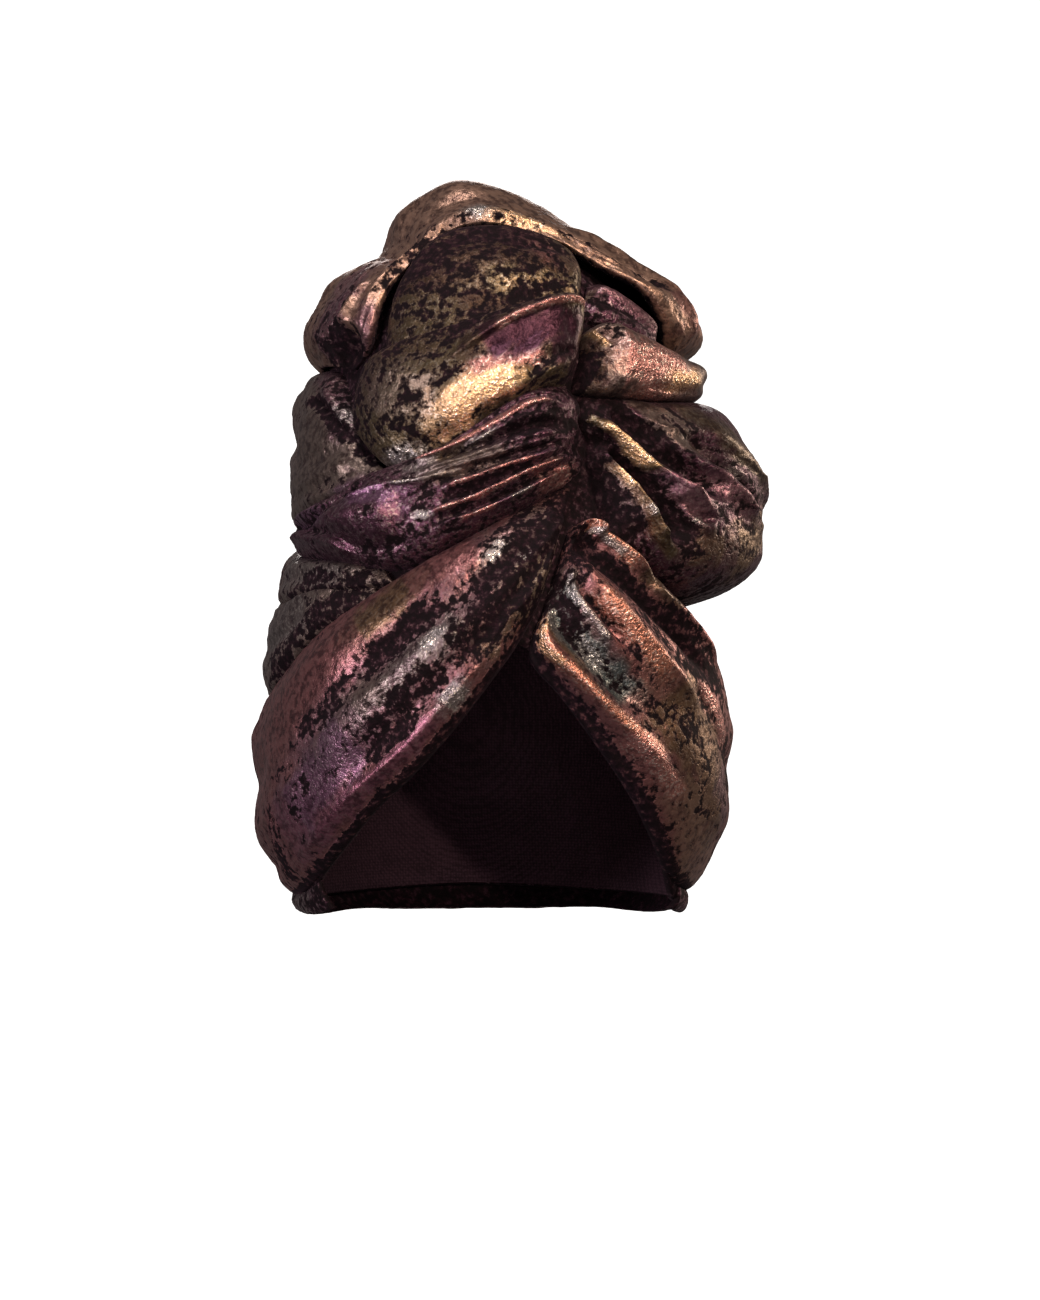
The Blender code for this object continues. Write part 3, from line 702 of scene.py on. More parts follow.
def layFold(node, ownWays):
    piece = {**usualFold, **ownWays}
    cloth, outer, inner, colour, free = foldCloth(piece)
    flatOuter = np.zeros(outer.shape[:2] + (2,))
    flatOuter[1:, :, 0] = np.linalg.norm(np.diff(cloth["seat"], axis=0), axis=2).cumsum(axis=0)
    flatOuter[:, 1:, 1] = np.linalg.norm(np.diff(cloth["seat"], axis=1), axis=2).cumsum(axis=1)
    points = np.concatenate([outer.reshape(-1, 3), inner.reshape(-1, 3)])
    flatPlaces = np.concatenate([flatOuter.reshape(-1, 2), flatOuter[::2, ::2].reshape(-1, 2)])
    wrongSide = colour[::2, ::2].reshape(-1, 5) * (1, 1, 1, 0, 0) + (0, 0, 0, 0, 1)  # all pile, no glint
    colours = np.concatenate([colour.reshape(-1, 5), wrongSide])
    slacks = np.concatenate([(free * piece["crush"]).ravel(), np.zeros(len(wrongSide))])
    name = node.replace("_", "-") + "-cloth"
    made = clothObject(name, points, foldFaces(*piece["grid"]), flatPlaces, colours, slacks)
    applyTree(made, crushedPile, Seed=piece["seed"], Cloth=foilCloth)
    declare(made, node)
    area = sum(f.area for f in made.data.polygons) / 2
    print(f"laid {node}: {len(made.data.polygons)} faces, {area:.4f} m2 of cloth")
    print(f"    length {cloth['length']:.3f} m, mean width {cloth['width'].mean():.3f} m")


# Nape band: the turn that shows below the brow bands
napeBand = {
    "rows": (
        FoldRow(-62, -0.975, -64, -0.935, 0.06),
        FoldRow(-80, -1, -80, -0.975, 0.1),
        FoldRow(-100, -1.01, -100, -0.965, 0.12),
        FoldRow(-140, -1.02, -140, -0.925, 0.15),
        FoldRow(180, -1.03, 180, -0.89, 0.15),
        FoldRow(140, -1.02, 140, -0.925, 0.15),
        FoldRow(100, -1.01, 100, -0.965, 0.12),
        FoldRow(78, -1, 78, -0.975, 0.1),
        FoldRow(62, -0.98, 62, -0.95, 0.06),
    ),
    "pleats": (
        Pleat(0.5, 2.5, 0, 2, ((10, 50), (50, 45), (90, 50))),
    ),
    "strokes": (
        Stroke("pewter", 0.6, -0.15, 6, ((5, 60), (40, 70))),
        bareAndShade(0.2, 5, ((0, 50), (12, 50))),
    ),
    "tint": "plum", "pile": 0.55,
    "lowRound": 0.9, "highRound": 0.9,
    "slack": 0.55, "crush": 0.6,
    "grid": (200, 24), "seed": 11,
    "flat": (0.021, 0.33), "held": "stretched",
}
layFold("nape_band", napeBand)

# Right brow band: broad and smooth, with soft folds that fan out of the knot
browBandRight = {
    "rows": (
        FoldRow(11, -0.06, 19, 0.105, 0.2),
        FoldRow(6, -0.19, 13, 0.085, 0.4),
        FoldRow(0, -0.285, 5, 0.04, 0.46),
        FoldRow(-7, -0.375, -6, -0.01, 0.52),
        FoldRow(-16, -0.49, -17, -0.065, 0.55),
        FoldRow(-28, -0.62, -29, -0.125, 0.56),
        FoldRow(-38, -0.7, -42, -0.195, 0.56),
        FoldRow(-51, -0.81, -57, -0.28, 0.55),
        FoldRow(-66, -0.9, -73, -0.385, 0.52),
        FoldRow(-86, -0.955, -92, -0.45, 0.46),
        FoldRow(-115, -0.93, -118, -0.445, 0.42),
        FoldRow(-146, -0.89, -148, -0.405, 0.4),
        FoldRow(-179, -0.865, -179, -0.375, 0.36),
    ),
    "pleats": (
        Pleat(1.8, 11, 0.2, 2, ((5, 76), (20, 76), (36, 76), (52, 80), (68, 80))),
        Pleat(-2.4, 5.5, 0, 2, ((12, 62), (30, 61), (42, 63), (54, 60))),
        Pleat(2, 6, 0.2, 2, ((12, 47), (25, 50), (36, 50), (46, 46), (60, 42))),
        Pleat(-1.9, 4.5, 0, 2, ((18, 32), (34, 29), (44, 24), (54, 20))),
        Pleat(1.8, 2.8, -0.2, 1.6, ((24, 19), (36, 13), (45, 12), (58, 11), (66, 10))),
        Pleat(1.6, 2.6, 0.3, 1.6, ((1, 30), (12, 28), (26, 24))),
        Pleat(1.6, 2.6, 0.3, 1.6, ((1, 55), (14, 56), (28, 58))),
        Pleat(-1.4, 2.4, 0, 1.8, ((2, 42), (12, 40), (24, 38))),
        Pleat(-1, 3, 0, 2, ((3, 90), (20, 92), (34, 93))),
        Pleat(1.5, 9, 0, 2, ((58, 40), (75, 35), (98, 40))),
        Pleat(-1.5, 5, 0, 2, ((66, 60), (80, 58), (99, 62))),
        Pleat(1.4, 6, 0.3, 1.8, ((70, 80), (85, 82), (99, 80))),
        Pleat(-1, 4, 0, 2, ((68, 18), (84, 20), (99, 18))),
    ),
    "strokes": (
        Stroke("mauve", 0.9, 0.05, 15, ((20, 80), (34, 60), (60, 30))),
        Stroke("taupe", 0.8, 0.16, 16, ((0, 50), (12, 50), (24, 46))),
        # painted shade where the band tucks in at the knot
        bareAndShade(0.4, 5, ((0, 10), (1, 50), (0, 90))),
        Stroke("rosewood", 1, -0.36, 11, ((30, 97), (40, 92), (52, 84), (66, 72), (74, 60))),
        bareAndShade(0.34, 3.4, ((50, 62), (56, 56), (60, 58))),
        Stroke("bronze", 0.85, -0.2, 7, ((41, 88), (49, 80))),
        bareAndShade(0.46, 4.4, ((36, 70), (47, 64))),
        bareAndShade(0.24, 8, ((16, 88), (20, 60), (24, 30))),
        bareAndShade(0.23, 5, ((22, 44), (32, 36))),
        Stroke("pewter", 0.8, -0.02, 5, ((31, 52), (40, 49), (49, 42))),
        bareAndShade(0.3, 3.6, ((36, 40), (42, 36), (47, 32))),
        Stroke("taupe", 0.7, 0.02, 6, ((44, 52), (52, 44), (56, 36))),
        Stroke("oldGold", 0.7, 0.06, 6, ((10, 40), (20, 30), (28, 24))),
        bareAndShade(0.3, 4, ((12, 66), (20, 60), (28, 58))),
        Stroke("silver", 0.8, -0.2, 1.6, ((17, 62), (19, 60))),
        Stroke("silver", 0.9, -0.3, 2, ((34.5, 54), (37, 50))),
        Stroke("silver", 0.9, -0.15, 2.4, ((23, 78), (26, 72))),
        Stroke("silver", 0.8, -0.3, 3, ((31, 15), (34, 13))),
        Stroke("magenta", 0.7, -0.34, 2.6, ((36, 13), (45, 11), (60, 11))),
        bareAndShade(0.43, 3, ((39, 23), (46, 20))),
        Stroke("magenta", 0.6, -0.16, 9, ((52, 16), (66, 22))),
        Stroke("orchid", 0.7, -0.12, 8, ((50, 36), (62, 28))),
        bareAndShade(0.35, 3.5, ((58, 36), (62, 26))),
        bareAndShade(0.39, 4, ((66, 36), (69, 20), (70, 8))),
        bareAndShade(0.36, 11, ((74, 74), (86, 60), (97, 34))),
        bareAndShade(0.3, 7, ((80, 24), (90, 30), (98, 72))),
        Stroke("taupe", 0.7, -0.12, 9, ((78, 30), (90, 70))),
        # painted shade along the hem
        bareAndShade(0.55, 1.3, ((8, 2), (35, 1), (70, 1), (99, 1))),
    ),
    "tint": "rosewood", "pile": 0.4,
    "bulge": 0.1, "swell": 0.97, "deep": 1.15,
    "lowRound": 1.05, "highRound": 0.7,
    "rounding": (0.015, 0.012),
    "lap": (-8, 0.1),
    "slack": 0.3, "crush": 0.5,
    "grid": (260, 110), "seed": 12,
    "flat": (0.082, 0.33), "held": "stretched",
}
layFold("brow_band_right", browBandRight)

# Left brow band: pleated at the knot, the pleats fading down to the ear
browBandLeft = {
    "rows": (
        FoldRow(13.5, -0.08, 17, -0.02, 0.16),
        FoldRow(8, -0.2, 21, -0.01, 0.36),
        FoldRow(4, -0.315, 26, -0.03, 0.48),
        FoldRow(12.5, -0.42, 32, -0.07, 0.58),
        FoldRow(23.5, -0.56, 40, -0.13, 0.6),
        FoldRow(33.5, -0.68, 49, -0.185, 0.6),
        FoldRow(43, -0.79, 60, -0.25, 0.58),
        FoldRow(56, -0.9, 73, -0.335, 0.5),
        FoldRow(80, -0.945, 88, -0.405, 0.42),
        FoldRow(112, -0.925, 114, -0.425, 0.38),
        FoldRow(146, -0.89, 146, -0.405, 0.38),
        FoldRow(179, -0.865, 179, -0.375, 0.36),
    ),
    "pleats": (
        Pleat(3.2, 3.4, 0.25, 1.7, ((6, 22), (17, 15), (25, 11), (32, 12), (41, 15), (52, 18))),
        Pleat(-3.8, 4.2, 0, 1.8, ((7, 34), (18, 29), (28, 27), (40, 29))),
        Pleat(2.8, 1.7, 0.3, 1.4, ((6, 50), (16, 48), (22, 44), (28, 40), (36, 38))),
        Pleat(-2.8, 2, 0, 1.6, ((8, 56), (18, 53), (26, 48), (34, 45))),
        Pleat(3.4, 4.6, -0.2, 1.7, ((10, 63), (22, 60), (32, 57), (42, 55), (54, 52))),
        Pleat(-4.6, 3.8, 0, 1.7, ((5, 72), (15, 75), (25, 76), (36, 77), (48, 76), (58, 72))),
        Pleat(4, 3.2, 0.3, 1.5, ((2, 80), (9, 88), (18, 90), (28, 90), (40, 90))),
        Pleat(2.4, 3, 0.3, 1.7, ((34, 87), (46, 87), (60, 84))),
        Pleat(3.4, 1.2, 0, 1.6, ((1, 62), (2, 80), (5, 95), (11, 95), (15, 88), (13, 78))),
        Pleat(-5, 1.9, 0, 2, ((4.5, 80), (8, 86), (11, 87))),
        Pleat(-1.4, 2.4, 0, 2, ((12, 3), (28, 4), (45, 6))),
        Pleat(1.8, 9, 0, 2, ((42, 36), (58, 34), (75, 40))),
        Pleat(-1.5, 4, 0, 2, ((48, 62), (60, 58), (74, 60))),
        Pleat(1.4, 6, 0, 2, ((66, 75), (82, 74), (99, 78))),
        Pleat(-1.4, 5, 0, 2, ((70, 28), (84, 30), (99, 25))),
    ),
    "strokes": (
        Stroke("bronze", 0.8, -0.05, 14, ((42, 48), (55, 40), (66, 32))),
        Stroke("brown", 0.7, -0.14, 8, ((50, 22), (60, 16), (72, 12))),
        bareAndShade(0.4, 4, ((62, 62), (68, 40), (70, 16))),
        # copper, pale gold, rose and silver along the pleat crests: foil colour with painted highlights
        Stroke("copper", 0.9, -0.3, 1.9, ((13, 19), (18, 11), (25, 12), (34, 15), (43, 20))),
        Stroke("paleGold", 0.6, -0.2, 0.9, ((15, 15), (19, 10), (24, 11))),
        Stroke("bronze", 0.8, -0.05, 2, ((12, 24), (20, 22), (28, 19))),
        Stroke("rose", 0.8, -0.35, 3, ((38, 14), (46, 17), (52, 18))),
        # painted shade along the hem
        bareAndShade(0.6, 1.8, ((8, 8), (20, 3), (40, 2.5), (62, 1), (98, 1))),
        Stroke("slate", 1, -0.1, 4.6, ((12, 40), (20, 33), (28, 29), (36, 30))),
        Stroke("silver", 0.6, -0.15, 2, ((24, 30), (30, 28))),
        bareAndShade(0.34, 2.5, ((8, 36), (18, 38), (24, 36))),
        Stroke("silver", 0.7, -0.3, 1.2, ((13, 49), (22, 44), (28, 40))),
        Stroke("silver", 0.6, -0.3, 1.2, ((14, 27), (22, 22))),
        Stroke("copper", 0.85, -0.14, 2.8, ((23.5, 58), (28, 55), (34, 53), (40, 51))),
        bareAndShade(0.34, 2.6, ((30, 64), (38, 62), (46, 60))),
        bareAndShade(0.34, 2.4, ((33, 50), (37, 48))),
        bareAndShade(0.4, 3.4, ((8, 58), (14, 61), (19, 60))),
        # painted shade in the deep valley
        bareAndShade(0.58, 3.4, ((4, 72), (16, 75), (30, 77), (44, 76), (56, 72))),
        # copper along a pleat crest: foil colour with a painted highlight
        Stroke("copper", 0.95, -0.34, 3, ((9, 90), (14, 92), (22, 92), (30, 90))),
        Stroke("silver", 0.8, -0.6, 0.8, ((10, 86), (18, 87.5), (26, 87.5))),
        # painted shade in the hole of the small loop
        bareAndShade(0.6, 2.2, ((4, 80), (8, 86), (11, 87))),
        Stroke("oldGold", 0.8, -0.1, 3, ((32, 90), (44, 88))),
        bareAndShade(0.39, 3, ((40, 84), (50, 82), (60, 76))),
        Stroke("rose", 0.8, -0.3, 2.4, ((52, 66), (58, 64), (63, 60))),
        bareAndShade(0.32, 4, ((46, 44), (52, 40), (56, 34))),
        bareAndShade(0.3, 4, ((52, 24), (60, 30), (64, 44))),
        bareAndShade(0.3, 3, ((44, 66), (50, 68), (56, 72))),
        Stroke("orchid", 0.5, -0.1, 6, ((60, 46), (66, 36))),
        bareAndShade(0.36, 8, ((76, 76), (90, 40))),
        bareAndShade(0.3, 8, ((70, 20), (84, 24), (98, 60))),
        Stroke("mauve", 0.8, -0.08, 10, ((74, 60), (86, 50), (99, 50))),
    ),
    "tint": "rosewood", "pile": 0.42,
    "bulge": 0.12, "droop": -0.2, "swell": 0.96, "deep": 1.25,
    "lowRound": 1.05,
    "rounding": (0.03, 0.0),
    "slack": 0.34, "crush": 0.5,
    "grid": (250, 120), "seed": 13,
    "flat": (0.09, 0.3), "held": "gathered",
}
layFold("brow_band_left", browBandLeft)

# The three turns that stand out on the wearer's right
sideFoldLow = {
    "rows": (
        FoldRow(-41, -0.165, -43, -0.145, 0.1),
        FoldRow(-58, -0.26, -60, -0.175, 0.34),
        FoldRow(-74, -0.365, -76, -0.205, 0.4),
        FoldRow(-92, -0.43, -92, -0.21, 0.38),
        FoldRow(-118, -0.425, -118, -0.175, 0.4),
        FoldRow(-146, -0.385, -146, -0.115, 0.46),
        FoldRow(178, -0.355, 178, -0.065, 0.44),
        FoldRow(146, -0.385, 146, -0.115, 0.42),
        FoldRow(116, -0.405, 116, -0.22, 0.36),
        FoldRow(92, -0.39, 92, -0.265, 0.28),
        FoldRow(76, -0.335, 76, -0.275, 0.12),
    ),
    "pleats": (
        Pleat(1.2, 2, 0.3, 1.6, ((2, 85), (15, 88), (30, 85))),
        Pleat(-1.2, 2.5, 0, 2, ((12, 45), (28, 50), (45, 45))),
        Pleat(1.6, 5, 0.2, 1.8, ((35, 60), (55, 65), (75, 55))),
        Pleat(-1.6, 3, 0, 2, ((40, 35), (60, 38), (85, 35))),
        Pleat(1.2, 3, 0.2, 1.8, ((50, 85), (70, 80), (90, 75))),
    ),
    "strokes": (
        bareAndShade(0.43, 4.5, ((2, 30), (14, 25), (24, 15))),
        Stroke("pewter", 0.8, -0.25, 8, ((12, 70), (24, 60), (34, 50))),
        bareAndShade(0.31, 5, ((36, 70), (44, 30))),
        Stroke("mauve", 0.8, -0.1, 8, ((50, 40), (70, 60))),
        bareAndShade(0.31, 5, ((74, 70), (84, 40))),
    ),
    "tint": "taupe", "pile": 0.4,
    "bulge": 0.3, "droop": -0.2,
    "taper": (1, 0.25),
    "slack": 0.77, "crush": 0.6,
    "grid": (240, 60), "seed": 14,
    "flat": (0.05, 0.36), "held": "folded",
}
layFold("side_fold_low", sideFoldLow)

sideFoldMid = {
    "rows": (
        FoldRow(-37, -0.135, -39, -0.115, 0.1),
        FoldRow(-52, -0.155, -54, -0.105, 0.36),
        FoldRow(-72, -0.18, -73, -0.095, 0.44),
        FoldRow(-92, -0.19, -92, -0.08, 0.42),
        FoldRow(-118, -0.155, -118, -0.02, 0.44),
        FoldRow(-146, -0.095, -146, 0.09, 0.5),
        FoldRow(178, -0.045, 178, 0.16, 0.46),
        FoldRow(155, -0.075, 155, 0.1, 0.34),
        FoldRow(143, -0.09, 143, 0.03, 0.14),
    ),
    "pleats": (
        Pleat(1.2, 2.5, 0.3, 1.6, ((3, 75), (18, 78), (32, 72))),
        Pleat(-1, 2.5, 0, 2, ((10, 40), (26, 45), (42, 40))),
        Pleat(1.8, 4.5, 0.2, 1.8, ((38, 65), (58, 60), (80, 62))),
        Pleat(-1.6, 3, 0, 2, ((45, 35), (65, 32), (88, 36))),
    ),
    "strokes": (
        Stroke("pewter", 0.7, -0.1, 6, ((10, 60), (22, 55), (34, 60))),
        bareAndShade(0.27, 4, ((5, 25), (16, 20), (28, 30))),
        bareAndShade(0.27, 3, ((16, 62), (20, 50))),
        Stroke("taupe", 0.8, -0.1, 8, ((44, 40), (60, 60))),
        Stroke("mauve", 0.7, 0, 7, ((70, 60), (90, 40))),
    ),
    "tint": "taupe", "pile": 0.5,
    "bulge": 0.3, "droop": 0.15,
    "taper": (1, 0.25),
    "slack": 0.77, "crush": 0.6,
    "grid": (220, 56), "seed": 15,
    "flat": (0.038, 0.24), "held": "folded",
}
layFold("side_fold_mid", sideFoldMid)

sideFoldHigh = {
    "rows": (
        FoldRow(-43, 0.17, -46, 0.2, 0.1),
        FoldRow(-53, 0.135, -58, 0.335, 0.42),
        FoldRow(-70, 0.08, -70, 0.435, 0.58),
        FoldRow(-90, 0.065, -90, 0.455, 0.62),
        FoldRow(-116, 0.08, -116, 0.46, 0.66),
        FoldRow(-146, 0.12, -146, 0.48, 0.58),
        FoldRow(178, 0.19, 178, 0.5, 0.52),
        FoldRow(160, 0.22, 160, 0.51, 0.36),
        FoldRow(148, 0.25, 148, 0.51, 0.14),
    ),
    "pleats": (
        Pleat(2.2, 3.2, 0.3, 1.6, ((3, 80), (14, 88), (26, 90))),
        Pleat(-3.4, 2.2, 0, 1.6, ((1, 62), (10, 72), (20, 77), (30, 78))),
        Pleat(1.4, 5, 0.3, 1.8, ((10, 35), (24, 32), (40, 38))),
        Pleat(1.6, 2.5, 0.3, 1.6, ((4, 10), (16, 9), (30, 12))),
        Pleat(-2, 3.5, 0, 1.8, ((30, 50), (50, 55), (72, 50))),
        Pleat(2, 6, 0.3, 1.8, ((36, 75), (56, 78), (80, 70))),
        Pleat(-1.8, 3, 0, 2, ((50, 25), (68, 22), (88, 30))),
    ),
    "strokes": (
        Stroke("taupe", 0.9, -0.2, 10, ((10, 45), (22, 40), (34, 45))),
        Stroke("plum", 0.8, 0.2, 5, ((6, 92), (16, 96), (30, 96))),
        # painted shade in the groove
        bareAndShade(0.55, 2.6, ((1, 62), (10, 72), (20, 77), (30, 78))),
        Stroke("silver", 0.5, -0.2, 2.4, ((10, 84), (16, 86))),
        bareAndShade(0.23, 3, ((12, 18), (22, 16))),
        Stroke("orchid", 0.6, 0.1, 4, ((5, 6), (16, 3))),
        bareAndShade(0.27, 6, ((44, 60), (58, 40))),
        Stroke("oldGold", 0.5, -0.05, 8, ((60, 70), (80, 60))),
        Stroke("mauve", 0.7, 0, 8, ((42, 25), (60, 20), (80, 30))),
    ),
    "tint": "taupe", "pile": 0.28,
    "bulge": 0.2, "droop": 0.4, "swell": 0.97,
    "taper": (1, 0.3),
    "tuck": 0.0055,
    "slack": 0.77, "crush": 0.6,
    "grid": (230, 96), "seed": 16,
    "flat": (0.064, 0.21), "held": "folded",
}
layFold("side_fold_high", sideFoldHigh)

# The twist across the front, drawn into sharp pleats at the knot
frontTwist = {
    "rows": (
        FoldRow(-122, -0.005, -122, 0.035, 0.1),
        FoldRow(-102, -0.035, -102, 0.035, 0.34),
        FoldRow(-82, -0.06, -82, 0.045, 0.46),
        FoldRow(-60, -0.075, -60, 0.1, 0.6),
        FoldRow(-42, -0.095, -42, 0.15, 0.8),
        FoldRow(-27, -0.075, -28, 0.195, 0.78),
        FoldRow(-15, -0.02, -16, 0.25, 0.74),
        FoldRow(-4, 0.03, -5, 0.325, 0.76),
        FoldRow(6, 0.08, 5, 0.39, 0.8),
        FoldRow(14, 0.125, 14, 0.4, 0.6),
        FoldRow(20, 0.155, 19, 0.37, 0.12),
    ),
    "pleats": (
        Pleat(4.2, 9, 0, 2, ((34, 40), (42, 42), (50, 36))),
        Pleat(2.4, 1.7, -0.4, 1.4, ((38, 56), (42, 66), (47, 68), (53, 62), (59, 57), (67, 52))),
        Pleat(2.6, 1.6, -0.4, 1.3, ((48, 94), (58, 90), (66, 88), (74, 85), (83, 82), (93, 74))),
        Pleat(1.8, 1.2, -0.4, 1.3, ((60, 80), (70, 80), (78, 76), (90, 66))),
        Pleat(2, 1.7, -0.4, 1.4, ((52, 74), (62, 69), (72, 64), (82, 57), (94, 52))),
        Pleat(2.6, 1.5, -0.4, 1.3, ((57, 46), (66, 40), (74, 39), (84, 38), (95, 42))),
        Pleat(2.6, 1.5, -0.4, 1.3, ((52, 30), (60, 23), (68, 23), (77, 25), (87, 28), (96, 32))),
        Pleat(2.4, 1.4, -0.4, 1.3, ((54, 12), (64, 9), (73, 9), (82, 11), (93, 16))),
        Pleat(1.6, 0.8, 0, 1.4, ((54, 65), (64, 60), (74, 54), (86, 49), (96, 47))),
        Pleat(1.5, 0.8, 0, 1.4, ((60, 94), (70, 95), (80, 92), (92, 84))),
        Pleat(1.5, 0.8, 0, 1.4, ((62, 52), (72, 48), (84, 44), (94, 45))),
        Pleat(1.4, 0.8, 0, 1.4, ((58, 34), (70, 31), (82, 33), (94, 37))),
        Pleat(-2.8, 1.6, 0, 1.6, ((56, 37), (66, 31), (76, 31), (86, 33), (95, 37))),
        Pleat(-2.8, 1.7, 0, 1.6, ((54, 57), (66, 50), (78, 47), (92, 46))),
        Pleat(-2.6, 1.4, 0, 1.6, ((54, 20), (66, 16), (78, 17), (92, 23))),
        Pleat(-2.2, 1.5, 0, 1.6, ((54, 83), (66, 75), (78, 69), (92, 60))),
        Pleat(-2, 2.4, 0, 1.8, ((24, 44), (33, 30), (42, 12), (52, 14))),
        Pleat(2, 2.6, 0.2, 1.6, ((16, 70), (26, 72), (34, 60))),
        Pleat(1.8, 2.6, 0.2, 1.6, ((18, 34), (30, 22), (40, 6))),
        Pleat(-2, 1.8, 0, 1.7, ((16, 54), (26, 56), (35, 74), (42, 84))),
    ),
    "strokes": (
        Stroke("orchid", 0.9, -0.35, 5, ((40, 60), (44, 56), (48, 50))),
        Stroke("plum", 0.9, -0.1, 8, ((34, 44), (42, 22))),
        Stroke("orchid", 0.7, 0.05, 4, ((20, 70), (30, 62))),
        Stroke("pewter", 0.8, -0.15, 4.5, ((48, 82), (58, 74), (68, 70))),
        Stroke("oldGold", 0.7, 0, 4, ((56, 80), (64, 72))),
        # rose and silver along the pleat crests: painted highlights
        Stroke("rose", 0.95, -0.55, 0.9, ((52, 93), (62, 90), (74, 86), (84, 82))),
        Stroke("silver", 0.7, -0.4, 0.8, ((64, 81), (70, 80))),
        Stroke("silver", 0.8, -0.5, 0.8, ((48, 67), (55, 61), (62, 55))),
        Stroke("rose", 0.8, -0.45, 0.8, ((60, 43), (70, 40), (80, 38.5))),
        Stroke("rose", 0.8, -0.5, 0.9, ((56, 26), (66, 23), (78, 26), (88, 29))),
        Stroke("rose", 0.7, -0.4, 0.8, ((62, 10), (70, 9))),
        Stroke("silver", 0.8, -0.5, 0.8, ((74, 10), (79, 11))),
        Stroke("rose", 0.55, -0.14, 3.4, ((80, 14), (88, 10), (94, 14))),
        Stroke("silver", 0.9, -0.5, 1.6, ((52, 30), (54, 26))),
        bareAndShade(0.2, 6, ((5, 50), (20, 50))),
        Stroke("taupe", 0.8, -0.1, 4, ((54, 66), (64, 58), (72, 56))),
        # painted shade between the pleats, here and in the next line
        bareAndShade(0.3, 3, ((62, 36), (72, 34), (80, 34))),
        bareAndShade(0.3, 3.4, ((74, 72), (84, 66), (94, 60))),
        # painted shade where the twist's end meets the recess by the knot
        bareAndShade(0.4, 2.4, ((98.5, 2), (98.5, 50), (98.5, 98))),
    ),
    "tint": "plum", "pile": 0.52,
    "bulge": 0.15, "swell": 0.92, "deep": 1.4,
    "taper": (0.3, 1), "rounding": (0, 0.035),
    "lap": (3, 0.26),
    "endLine": (
        (0, 0.07), (0.1, 0.018), (0.24, 0.0), (0.38, 0.026), (0.52, 0.0), (0.66, 0.022), (0.8, 0.004),
        (1, 0.05),
    ),
    "slack": 0.85, "crush": 0.8,
    "grid": (320, 130), "seed": 17,
    "flat": (0.058, 0.185), "held": "gathered",
}
layFold("front_twist", frontTwist)

# The two broad falls of gold cloth over the front of the crown
drapeLow = {
    "rows": (
        FoldRow(-59, 0.39, -57, 0.46, 0.1),
        FoldRow(-50, 0.295, -46, 0.49, 0.42),
        FoldRow(-39, 0.205, -35, 0.515, 0.6),
        FoldRow(-27, 0.215, -23, 0.535, 0.66),
        FoldRow(-14, 0.275, -10, 0.56, 0.72),
        FoldRow(-2, 0.355, 2, 0.585, 0.82),
        FoldRow(8, 0.415, 13, 0.61, 0.9),
        FoldRow(15, 0.425, 22, 0.62, 0.66),
        FoldRow(19, 0.43, 26, 0.6, 0.16),
    ),
    "pleats": (
        Pleat(3, 2.2, 0.5, 1.4, ((42, 66), (52, 79), (60, 86), (70, 88), (82, 90), (97, 94))),
        Pleat(-1.8, 5, 0, 2, ((54, 62), (66, 64), (78, 62), (90, 60))),
        Pleat(2.2, 6.5, 0.2, 1.8, ((44, 30), (54, 36), (64, 34), (74, 28))),
        Pleat(1.2, 8, 0, 2, ((8, 50), (24, 46), (40, 36))),
        Pleat(1, 5, 0, 2, ((14, 82), (30, 76), (46, 62))),
        Pleat(-1.6, 2.6, 0, 1.8, ((34, 14), (46, 13), (58, 11), (74, 10))),
        Pleat(1.4, 1.8, 0, 1.5, ((56, 20), (68, 18), (80, 20), (94, 26))),
        Pleat(-1.6, 1.8, 0, 1.6, ((70, 30), (80, 34), (92, 42))),
    ),
    "strokes": (
        # a painted highlight in pale gold and rose on the bulge
        Stroke("paleGold", 1, -0.34, 6, ((47, 24), (53, 34), (60, 38), (67, 30))),
        Stroke("rose", 0.9, -0.34, 2.4, ((52, 56), (60, 54), (69, 46), (76, 34))),
        Stroke("aubergine", 1, -0.5, 6, ((54, 68), (62, 70), (72, 68), (82, 62), (92, 55))),
        Stroke("aubergine", 0.9, -0.16, 5.5, ((78, 42), (88, 36), (96, 45))),
        Stroke("silver", 0.9, -0.25, 3.5, ((29, 6), (34, 10), (38, 12))),
        # a painted highlight along the crest of the upper ridge
        Stroke("rose", 0.8, -0.4, 0.9, ((56, 82), (63, 87), (74, 88), (90, 91))),
        Stroke("umber", 0.9, 0.12, 13, ((0, 20), (6, 50), (8, 90))),
        Stroke("umber", 0.6, 0.08, 7, ((16, 94), (34, 98), (50, 98))),
        Stroke("taupe", 0.5, -0.06, 8, ((20, 66), (34, 56), (44, 46))),
        # painted shadow along the top edge, under the upper fall
        bareAndShade(0.31, 3, ((42, 92), (56, 97), (72, 98.5))),
        bareAndShade(0.23, 2.4, ((30, 40), (36, 52))),
    ),
    "tint": "oldGold", "pile": 0.54,
    "bulge": 0.1, "droop": -0.1, "swell": 0.96,
    "lowRound": 0.8, "highRound": 0.8,
    "hold": (
        (0, 0.2, 0.3), (0.12, 0.2, 0.36), (0.25, 0.1, 0.56), (0.4, 0.1, 0.66), (0.52, 0.05, 0.8),
        (0.64, 0.0, 0.8), (1, 0, 0.6),
    ),
    "rounding": (0.1, 0.05),
    "tuck": 0.0035,
    "endLine": ((0, 0.09), (0.12, 0.06), (0.35, 0.05), (0.55, 0.04), (0.8, 0.0), (1, 0.0)),
    "slack": 0.55, "crush": 0.5,
    "grid": (240, 110), "seed": 18,
    "flat": (0.06, 0.1), "held": "draped", "restsOn": ["under_wrap", "front_twist"],
}
layFold("drape_low", drapeLow)

